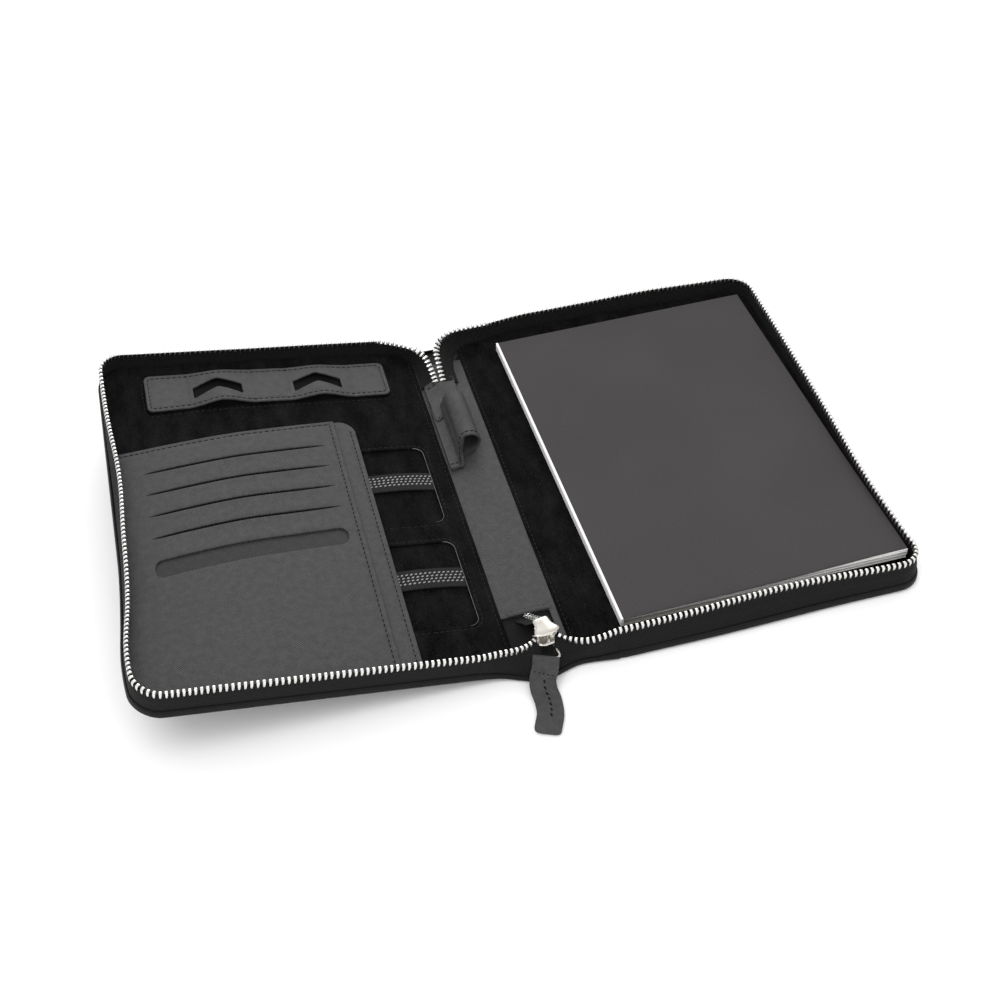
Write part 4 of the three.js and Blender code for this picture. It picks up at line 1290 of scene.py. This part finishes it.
def add_pockets():
    ring = pocket_ring(SLIP_LOW[0], 0.0, 9.0)
    seam_line = np.array([(SLIP_LOW[0] + 2.6, SLIP_LOW[1] + 3.0),
                          (SLIP_LOW[0] + 2.6, slant(SLIP_LOW[0], POCKET_REAR) - 8)])
    bulge = lambda d, y: (pillow(d, y) * smooth_step((d - SLIP_LOW[0]) / 30)
                          + 0.35 * bump_at(d, SLIP_LOW[0] + 5.5, 3.5))
    slip = panel("slip_pocket_leather", ring, SLIP_LOW[2], 0.9, LEATHER, "left", lift=bulge,
                 creases=[(seam_line, 0.28, 0.6)], step=4, edge=0.4)
    ride(slip, "pocket_half", "slip_pocket", slot="saffiano_leather")
    lay(slip, "laid", "left_suede_panel")
    height = lambda d, y: SLIP_LOW[2] + 0.9 + bulge(d, y) - 0.22
    slip_thread = stitches("slip_pocket_stitches", [on_top(height, seam_line)], THREAD, "left", 3.1, 2.3)
    ride(slip_thread, "pocket_half", slot="saffiano_leather")

    edge = CARD_LOW[0] - 1.0
    ring = pocket_ring(edge, 0.25, 1.2)
    base = lambda d, y: CARD_LOW[2] - 0.25 + pillow(d, y)
    side_seam = np.array([(edge + 2.6, SLIP_LOW[1] + 3.0),
                          (edge + 2.6, slant(edge, POCKET_REAR) - 2.6)])
    rear_seam = np.array([(d, slant(d, POCKET_REAR - 2.6))
                          for d in np.linspace(edge + 3, SLIP_HIGH[0] - 3, 30)])
    front_seam = np.array([(edge + 3, SLIP_LOW[1] + 2.2), (SLIP_HIGH[0] - 16, SLIP_LOW[1] + 2.2)])
    marks = [(side_seam, 0.3, 0.65), (rear_seam, 0.25, 0.6), (front_seam, 0.2, 0.6)]
    holes = [lens(lip) for lip in LIPS] + [thumb_ring()]
    card = panel("card_panel_leather", ring, base, 0.95, LEATHER, "left", holes=holes, lift=lip_relief,
                 creases=marks, step=2.6, edge=0.35, spacing=2.0)
    ride(card, "pocket_half", "card_panel", slot="saffiano_leather")
    lay(card, "laid", slip)
    height = lambda d, y: base(d, y) + 0.95 + lip_relief(d, y) - 0.22
    thread = stitches("card_panel_stitches", [on_top(height, line) for line in (side_seam, rear_seam, front_seam)],
                      THREAD, "left", 3.1, 2.3)
    ride(thread, "pocket_half", slot="saffiano_leather")

    liner_base = lambda d, y: CARD_LOW[2] - 0.75 + pillow(d, y) * 0.9
    for i, lip in enumerate(LIPS):
        d = np.array([SLIT_MIDDLE - 50, SLIT_MIDDLE + 50])
        ring = [(d[0], slant(d[0], lip - 12)), (d[1], slant(d[1], lip - 12)),
                (d[1], slant(d[1], lip + 2)), (d[0], slant(d[0], lip + 2))]
        # the liners' near-black cloth is painted shade inside the slits
        liner = panel(f"card_liner_cloth_{i + 1}", ring, liner_base, 0.3, CLOTH_PAINTED_SHADE, "left", step=5, edge=0.1)
        ride(liner, "pocket_half", f"card_liner_{i + 1}", slot="lining_cloth")
        lay(liner, "laid", slip)
    d = np.array([SLIT_MIDDLE - 51, SLIT_MIDDLE + 51])
    ring = [(d[0], slant(d[0], THUMB_Y - 40)), (d[1], slant(d[1], THUMB_Y - 40)),
            (d[1], slant(d[1], THUMB_Y + 9)), (d[0], slant(d[0], THUMB_Y + 9))]
    note = panel("note_liner_leather", ring, liner_base, 0.45, OUTSIDE_INNER, "left", step=4, edge=0.15)
    ride(note, "pocket_half", "note_liner", slot="outer_leather")
    lay(note, "laid", slip)


# ---------------------------------------------------------------- organiser strip and elastics
STRIP_LOW, STRIP_HIGH = node_box("organiser_strip")
CHEVRONS = [56.5, 110.5]


def organiser_ring(grow):
    return rounded(box_ring(STRIP_LOW - grow, STRIP_HIGH + grow), 3.5 + max(grow, -2), 7)


def hump(d, y):
    """The strip stands up in two soft folds over its cut-outs, more at the front mouth."""
    rise = np.zeros_like(d)
    for middle in CHEVRONS:
        t = np.clip(1 - np.abs(d - middle + 1.5) / 17.5, 0, 1)
        rise = rise + 2.7 * (t * t * (3 - 2 * t) * 0.75 + t * 0.25)
    mouth = smooth_step((STRIP_HIGH[1] - y) / (STRIP_HIGH[1] - STRIP_LOW[1]))
    return rise * (0.55 + 0.78 * mouth)


def chevron_ring(middle):
    half, band, rise = 13.0, 4.25, 5.5
    y = (STRIP_LOW[1] + STRIP_HIGH[1]) / 2
    ring = [(-half, y - band - rise / 2), (0, y - band + rise / 2), (half, y - band - rise / 2),
            (half, y + band - rise / 2), (0, y + band + rise / 2), (-half, y + band - rise / 2)]
    return rounded([(middle + a, b) for a, b in ring], [0.5, 1, 0.5, 0.5, 2.5, 0.5], 4)


def add_organiser():
    holes = [chevron_ring(m) for m in CHEVRONS]
    hem = closed(organiser_ring(-2.1))
    wide = lambda d, y: 0.22 * np.sin(d * 0.09)
    lift = lambda d, y: hump(d, y) + wide(d, y) + 0.2
    folds = [np.array([(m + o, STRIP_LOW[1] + 1), (m + o, STRIP_HIGH[1] - 1)])
             for m in CHEVRONS for o in (-19.0, 16.0)]
    strip = panel("organiser_strip_leather", organiser_ring(0), STRIP_LOW[2], 0.85, LEATHER, "left",
                  holes=holes, lift=lift, under=True,
                  creases=[(hem, 0.24, 0.6)] + [(f, 0.28, 0.8) for f in folds], step=1.8,
                  edge=0.4, spacing=1.4)
    ride(strip, "pocket_half", "organiser_strip", slot="saffiano_leather")
    lay(strip, "laid", "left_suede_panel")
    height = lambda d, y: STRIP_LOW[2] + 0.66 + lift(d, y)
    thread = stitches("organiser_stitches", [on_top(height, hem)], THREAD, "left", 3.0, 2.2)
    ride(thread, "pocket_half", slot="saffiano_leather")
    # the backing cloth's near-black is painted shade seen through the chevron cut-outs
    back = panel("organiser_pocket_cloth", organiser_ring(-0.8), STRIP_LOW[2] - 1.1, 0.9, CLOTH_PAINTED_SHADE, "left",
                 step=6, edge=0.3)
    ride(back, "pocket_half", "organiser_backing", slot="lining_cloth")
    lay(back, "laid", "left_suede_panel")


def add_elastics():
    for name, first_row in (("rear", 2.6), ("front", 3.0)):
        low, high = node_box("elastic_" + name)
        span = high[0] - low[0]

        def arch(d, _, start=low[0] + 2, long=span - 4):
            return 1.5 * np.sin(np.clip((d - start) / long, 0, 1) * math.pi) ** 0.8

        band = panel(f"elastic_{name}_band", box_ring(low, high), low[2], 0.7, ELASTIC, "left", lift=arch, under=True,
                     step=2, edge=0.25)
        ride(band, "pocket_half", f"elastic_{name}", slot="elastic")
        lay(band, "stretched", "left_suede_floor")
        lines = []
        for i in range(4):
            row = high[1] - first_row - i * 1.95
            start = low[0] + 1.5 + (i % 2) * 1.15
            line = np.array([(start, row), (high[0] - 1, row)])
            lines.append(on_top(lambda d, y_: low[2] + 0.66 + arch(d, y_), line))
        dots = stitches(f"elastic_{name}_dashes", lines, PALE_THREAD, "left", 2.3, 1.5, 0.38, tilt=-0.35)
        ride(dots, "pocket_half", slot="elastic")


# ---------------------------------------------------------------- writing pad
def add_pad():
    low, high = node_box("pad_pages")
    cover_low, cover_high = node_box("pad_cover")
    bound_low, bound_high = node_box("pad_binding")
    back_low, back_high = node_box("pad_backing")
    curl = lambda d, y: 1.9 * smooth_step((d - 80) / 90) * smooth_step((-y - 20) / 85)
    back = panel("pad_back_board", box_ring(back_low, back_high), back_low[2], 0.8, GREY_BOARD, "pad", step=20, edge=0.12)
    ride(back, "pad", "pad_backing", slot="grey_board")
    stack = 16
    bottom, top = back_high[2] + 0.3, high[2]
    verts, faces = [], []
    for i in range(stack):
        z0 = bottom + (top - bottom) * i / stack
        z1 = bottom + (top - bottom) * (i + 1) / stack - 0.02
        slip = rng.uniform(-0.22, 0.22) - 0.015 * (stack - i)
        corner_slip = rng.uniform(-0.25, 0.15)
        ds = np.linspace(low[0], high[0] + slip, 12)
        ys = np.linspace(low[1] + slip * 0.5, high[1] - abs(slip) * 0.4, 14)
        for z, part in ((z0, i / stack), (z1, (i + 1) / stack)):
            for d in ds:
                for y in ys:
                    share = (d - low[0]) / 150
                    extra = 2.5 - 3.3 * share + corner_slip * share
                    extra *= smooth_step((low[1] + 22 - y) / 22)
                    verts.append((d, y + extra, z + curl(d, y) * part))
        n, m = len(ds), len(ys)
        cell = lambda a, b, k: (i * 2 + k) * n * m + a * m + b
        for a in range(n - 1):
            for b in range(m - 1):
                faces.append((cell(a, b, 0), cell(a, b + 1, 0), cell(a + 1, b + 1, 0), cell(a + 1, b, 0)))
                faces.append((cell(a, b, 1), cell(a + 1, b, 1), cell(a + 1, b + 1, 1), cell(a, b + 1, 1)))
        for a in range(n - 1):
            faces.append((cell(a, 0, 0), cell(a + 1, 0, 0), cell(a + 1, 0, 1), cell(a, 0, 1)))
            faces.append((cell(a + 1, m - 1, 0), cell(a, m - 1, 0), cell(a, m - 1, 1), cell(a + 1, m - 1, 1)))
        for b in range(m - 1):
            faces.append((cell(0, b + 1, 0), cell(0, b, 0), cell(0, b, 1), cell(0, b + 1, 1)))
            faces.append((cell(n - 1, b, 0), cell(n - 1, b + 1, 0), cell(n - 1, b + 1, 1), cell(n - 1, b, 1)))
    pages = build("pad_page_block", verts, faces, PAPER, "pad", sharp=30)
    pages.data.materials.append(SHEET_TOP)
    for face in pages.data.polygons:
        face.material_index = int(abs(face.normal.z) > 0.7)
    ride(pages, "pad", "pad_pages", slot="paper")
    profile = rounded([(bound_low[0], back_low[2] + 0.1), (bound_high[0] + 0.2, back_low[2] + 0.1),
                       (bound_high[0] + 0.2, top), (bound_low[0], top)], [0.4, 0, 0, 0.6], 4)
    rows = [[(d, y, z) for d, z in profile] for y in np.linspace(bound_low[1], bound_high[1], 24)]
    bound = grid("pad_bound_edge", rows, BOUND, "pad")
    ride(bound, "pad", "pad_binding", slot="paper")
    edge = 0.9  # the white binding tape shows this far over the cover
    ring = rounded(box_ring(cover_low, cover_high), 0.5, 2)
    flap = panel("pad_cover_card", ring, cover_low[2] - 0.1, 0.38, PAD_CARD, "pad", lift=curl, under=True,
                 step=6, edge=0.08)
    ride(flap, "pad_flap", "pad_cover", slot="pad_card")
    ring = rounded([(cover_low[0] - 0.35, low[1]), (cover_low[0] + edge, low[1]),
                    (cover_low[0] + edge, high[1]), (cover_low[0] - 0.35, high[1])], 0.15, 2)
    tape = panel("pad_white_fold", ring, cover_low[2] + 0.24, 0.1, BOUND, "pad", step=8, edge=0.05)
    ride(tape, "pad_flap", slot="paper")
    s_low, s_high = node_box("pad_sleeve")
    ring = rounded(box_ring(s_low, s_high), 2, 4)
    sleeve = panel("pad_grip_sleeve", ring, s_low[2] - 0.05, 0.5, SUEDE, "right", step=6, edge=0.25)
    ride(sleeve, "pad_half", "pad_sleeve", slot="suede")
    lay(sleeve, "stretched", "right_suede_floor")


# ---------------------------------------------------------------- slider, ring and tab
SLIDER_LOW, SLIDER_HIGH = node_box("zip_slider")
RING_LOW, RING_HIGH = node_box("pull_ring")
YAW = math.radians(9)
AHEAD = np.array([math.sin(YAW), -math.cos(YAW), 0])
ASIDE = np.array([math.cos(YAW), math.sin(YAW), 0])
SLIDER_AT = np.array([0.75, -101.2, 0])
PLATE = [(0.0, 2.2), (0.35, 3.3), (1.2, 3.8), (3.0, 3.9), (4.6, 4.15), (6.0, 4.9), (7.2, 5.7),
         (8.3, 6.1), (9.4, 5.9), (10.2, 5.0), (10.7, 3.6), (10.9, 2.0)]


def at_slider(s, v, z):
    return SLIDER_AT + AHEAD * s + ASIDE * v + np.array((0, 0, z))


def slider_plate(name, low, high, crown, long=1.0, wide=1.0):
    """A bell-shaped plate with a soft roof ridge and rolled edges."""
    along = np.array(PLATE)
    s_fine = np.linspace(0, along[-1, 0], 30)
    half = np.interp(s_fine, along[:, 0], along[:, 1])
    half = np.convolve(np.pad(half, 1, mode="edge"), [0.2, 0.6, 0.2], "valid")
    rows = []
    for s, w in zip(s_fine, half):
        w *= wide
        t = np.linspace(-1, 1, 17)
        end = math.sqrt(max(0.0, 1 - (abs(s / along[-1, 0] - 0.5) * 2) ** 8))
        roof = crown * (1 - np.abs(t - 0.12) ** 1.25).clip(0) * end
        edge = (1 - np.abs(t) ** 10) ** 0.5 * end
        top = [at_slider(s * long, w * v, low + (high - low) * (0.45 + 0.55 * e) + r)
               for v, r, e in zip(t, roof, edge)]
        under = [at_slider(s * long, w * v, low + (high - low) * 0.30 * (1 - e)) for v, e in
                 zip(t[::-1], edge[::-1])]
        rows.append(top + under)
    return grid(name, rows, CAST, "spine", sharp=38)


def add_slider():
    gap_low, gap_high = SLIDER_LOW[2] + 1.2, SLIDER_HIGH[2] - 1.2
    top = slider_plate("slider_top_plate", gap_high, gap_high + 0.8, 0.4)
    under = slider_plate("slider_under_plate", SLIDER_LOW[2] + 0.1, SLIDER_LOW[2] + 1.0, 0.1, 1.12, 0.86)
    ride(top, "slider", "zip_slider", slot="slider_metal")
    ride(under, "slider", slot="slider_metal")
    rows = []
    for z, grow in ((gap_low - 0.5, 1.35), (gap_low + 0.5, 1.08), (gap_low + 1.8, 0.92), (gap_high - 1.3, 0.95),
                    (gap_high + 0.3, 1.25)):
        ring = [(6.2, 0), (8.4, 1.15), (10.35, 0.8), (10.75, 0.35), (10.75, -0.35), (10.35, -0.8),
                (8.4, -1.15)]
        rows.append([at_slider(8.6 + (s - 8.6) * grow, v * grow, z) for s, v in ring])
    post = grid("slider_post", rows, CAST, "spine", sharp=40)
    ride(post, "slider", slot="slider_metal")
    for sign, word in ((-1, "left"), (1, "right")):
        for z0, z1, part in ((gap_high + 0.5, gap_high - 0.8, "upper"), (gap_low - 0.4, gap_low + 0.7, "lower")):
            rows = []
            for s in np.linspace(0.5, 6.0, 16):
                w = np.interp(s, [p[0] for p in PLATE], [p[1] for p in PLATE]) * (1 if part == "upper" else 0.86)
                tip = z1 + (z0 - z1) * 0.9 * (smooth_step((s - 4.8) / 1.2) + smooth_step((1.2 - s) / 0.7)).clip(0, 1)
                rows.append([at_slider(s, sign * (w - 0.05), z0), at_slider(s, sign * (w - 0.1), tip),
                             at_slider(s, sign * (w - 0.4), tip - (z1 - z0) * 0.06), at_slider(s, sign * (w - 0.75), tip),
                             at_slider(s, sign * (w - 0.8), z0)])
            lip = grid(f"slider_{part}_lip_{word}", rows, CAST, "spine", sharp=45)
            ride(lip, "slider", slot="slider_metal")
    low, high = node_box("slider_lug")
    bar_y = (low[1] + high[1]) / 2
    outer = (high[1] - low[1]) / 2
    path = [(bar_y + outer - 0.4, high[2] + 0.5), (bar_y + outer - 0.4, low[2] + 1.1), (bar_y + outer - 1.1, low[2] + 0.42),
            (bar_y - outer + 1.1, low[2] + 0.42), (bar_y - outer + 0.4, low[2] + 1.1), (bar_y - outer + 0.4, high[2] + 0.5)]
    path = spline([(*p, 0.0) for p in path], 26)[:, :2]
    way = np.gradient(path, axis=0)
    way /= np.linalg.norm(way, axis=1)[:, None]
    middle = (low[0] + high[0]) / 2 + 0.8
    section = rounded([(-1.6, -0.36), (1.6, -0.36), (1.6, 0.36), (-1.6, 0.36)], 0.25, 3)
    rows = [[(middle + v, p[0] - w[1] * n, p[1] + w[0] * n) for v, n in section] for p, w in zip(path, way)]
    lug = grid("slider_lug_arch", rows, CAST, "spine", sharp=45)
    ride(lug, "slider", "slider_lug", slot="slider_metal")


RING_BAR = (RING_LOW[1] + 0.65, (RING_LOW[2] + RING_HIGH[2]) / 2)


def add_ring():
    rear, z0 = RING_HIGH[1] - 0.65, (RING_LOW[2] + RING_HIGH[2]) / 2
    front = RING_BAR[0]
    corners = [(-3.4, rear), (4.2, rear), (5.9, front - 0.9), (-7.9, front + 1.6)]
    ring = resample(rounded(corners, [1.5, 1.5, 1.7, 1.7], 7), 1.2)
    path = np.column_stack([ring, np.full(len(ring), z0)])
    wire_radius = 0.64
    rows = []
    for p, w in zip(path, np.roll(path, -1, 0) - np.roll(path, 1, 0)):
        a = unit(np.cross(unit(w), (0, 0, 1.0)))
        b = np.cross(unit(w), a)
        rows.append([p + (a * math.cos(t) + b * math.sin(t)) * wire_radius for t in circle(12)])
    wire = grid("pull_ring_wire", rows, CAST, loop=True, caps=False, sharp=60)
    ride(wire, "ring", "pull_ring", slot="slider_metal")


# the tab's middle from the ring's bar to its end: x, y, z
TAB_LINE = [(-1.3, 0.0), (-3.0, -3.8), (-4.8, -7.2), (-5.6, -11.4), (-5.2, -17.8), (-6.6, -25.0),
            (-10.6, -34.4)]
TAB_DROP = [0.0, -2.2, -5.2, -7.4, -8.3, -8.15, -8.2]


def add_tab():
    low, high = node_box("pull_tab")
    width = high[0] - low[0]
    by, bz = RING_BAR
    line = spline([(x, by + y, bz + z) for (x, y), z in zip(TAB_LINE, TAB_DROP)], 80)
    line[:, 2] = np.maximum(line[:, 2], 1.05)
    way = np.gradient(line, axis=0)
    way /= np.linalg.norm(way, axis=1)[:, None]
    across = np.cross((0, 0, 1.0), way)
    across /= np.linalg.norm(across, axis=1)[:, None]
    up = np.cross(way, across)
    gone = run_of(line)
    half_leaf = 0.38
    apart = half_leaf + 0.95 * smooth_step((3.6 - gone) / 3.2)
    flip = 1.0 if up[0, 2] > 0 else -1.0
    up, across = up * flip, across * flip
    turn = []
    for a in np.linspace(0, math.pi, 13)[1:-1]:
        turn.append((line[0] + up[0] * math.cos(a) * apart[0] - way[0] * math.sin(a) * apart[0],
                     up[0] * math.cos(a) - way[0] * math.sin(a), across[0], 0.0))
    top = [(p + u * a, u, x, g) for p, u, x, a, g in zip(line, up, across, apart, gone)]
    under = [(p - u * a, -u, x, g) for p, u, x, a, g in zip(line, up, across, apart, gone)]
    path = top[::-1] + turn + under
    long = gone[-1]
    rows, uv, run = [], [], 0.0
    last = None
    for p, n, x, g in path:
        if last is not None:
            run += float(np.linalg.norm(p - last))
        last = p
        corner = 2.4
        cut = max(0.0, g - (long - corner))
        half = width / 2 - (corner - math.sqrt(max(0.0, corner**2 - cut**2)))
        wave = 0.12 * math.sin(g * 0.5)
        pinch = 1 - 0.22 * math.exp(-((g - 6.6) / 0.9) ** 2)
        section = rounded([(-half, -half_leaf), (half, -half_leaf), (half, half_leaf * pinch), (-half, half_leaf * pinch)],
                          0.3, 3)
        rows.append([p + x * (v + wave) + n * h for v, h in section])
        uv += [(v, run) for v, h in section]
    tab = grid("pull_tab_leather", rows, LEATHER, "spine", uv=uv, sharp=50)
    ride(tab, "tab", "pull_tab", slot="saffiano_leather")
    surface = line + up * (apart + half_leaf)[:, None]
    keep = (gone > 8.6) & (gone < 30.5)
    seam = surface[keep] + across[keep] * 0.6 - up[keep] * 0.02
    threads = stitches("pull_tab_stitches", [seam], THREAD, "spine", 2.75, 1.9, 0.5, tilt=0.35)
    ride(threads, "tab", slot="saffiano_leather")
    k = int(np.argmin(abs(gone - 6.6)))
    cross = [surface[k] + across[k] * v - up[k] * 0.14 for v in np.linspace(-width / 2 + 1, width / 2 - 1, 12)]
    row = stitches("pull_tab_cross_stitches", [cross], THREAD, "spine", 2.0, 1.5, 0.22)
    ride(row, "tab", slot="saffiano_leather")


# ---------------------------------------------------------------- the piece, the studio and the view
def add_studio():
    floor_mesh = bpy.data.meshes.new("floor")
    size = 6.0
    floor_mesh.from_pydata([(-size, -size, 0), (size, -size, 0), (size, size, 0), (-size, size, 0)], [], [(0, 1, 2, 3)])
    floor = bpy.data.objects.new("floor", floor_mesh)
    white = material("floor_white", (0.93, 0.93, 0.93), 0.9, Specular_IOR_Level=0.1)
    floor_mesh.materials.append(white)
    bpy.context.scene.collection.objects.link(floor)
    floor.location.z = -0.0006

    world = bpy.data.worlds.new("studio")
    bpy.context.scene.world = world
    world.use_nodes = True
    sky = world.node_tree.nodes["Background"]
    sky.inputs[0].default_value = (1, 1, 1, 1)
    sky.inputs[1].default_value = 0.95

    for name, place, aim, size, power in (
        ("key", (-0.5, -0.3, 1.5), (0, 0, 0), 1.0, 8.0),
        ("back", (0.4, 1.4, 0.9), (0, 0, 0), 1.0, 9.0),
        ("front", (0.3, -1.2, 0.8), (0, 0, 0), 1.0, 3.0),
    ):
        light = bpy.data.lights.new(name, "AREA")
        light.size, light.energy = size, power
        lamp = bpy.data.objects.new(name, light)
        lamp.location = place
        lamp.rotation_euler = (Vector(aim) - Vector(place)).to_track_quat("-Z", "Y").to_euler()
        bpy.context.scene.collection.objects.link(lamp)


def add_camera():
    right = Vector((0.96520, -0.26052, -0.02257))
    up = Vector((0.20224, 0.68901, 0.69596))
    forward = Vector((0.16576, 0.67631, -0.71773))
    turn = Matrix((right, up, -forward)).transposed().to_4x4()
    camera = bpy.data.cameras.new("camera")
    camera.lens, camera.sensor_width = 51.66, 36
    seen = bpy.data.objects.new("camera", camera)
    seen.matrix_world = Matrix.Translation((-0.11681, -0.51174, 0.53641)) @ turn
    bpy.context.scene.collection.objects.link(seen)
    bpy.context.scene.camera = seen


for half in ("left", "right"):
    add_outside(half)
    add_zip(half)
add_linings()
add_spine()
add_chain_tail()
add_patch()
add_pen_loop()
add_organiser()
add_pockets()
add_elastics()
add_pad()
add_slider()
add_ring()
add_tab()
add_studio()
add_camera()
bpy.context.scene.view_settings.view_transform = "Standard"
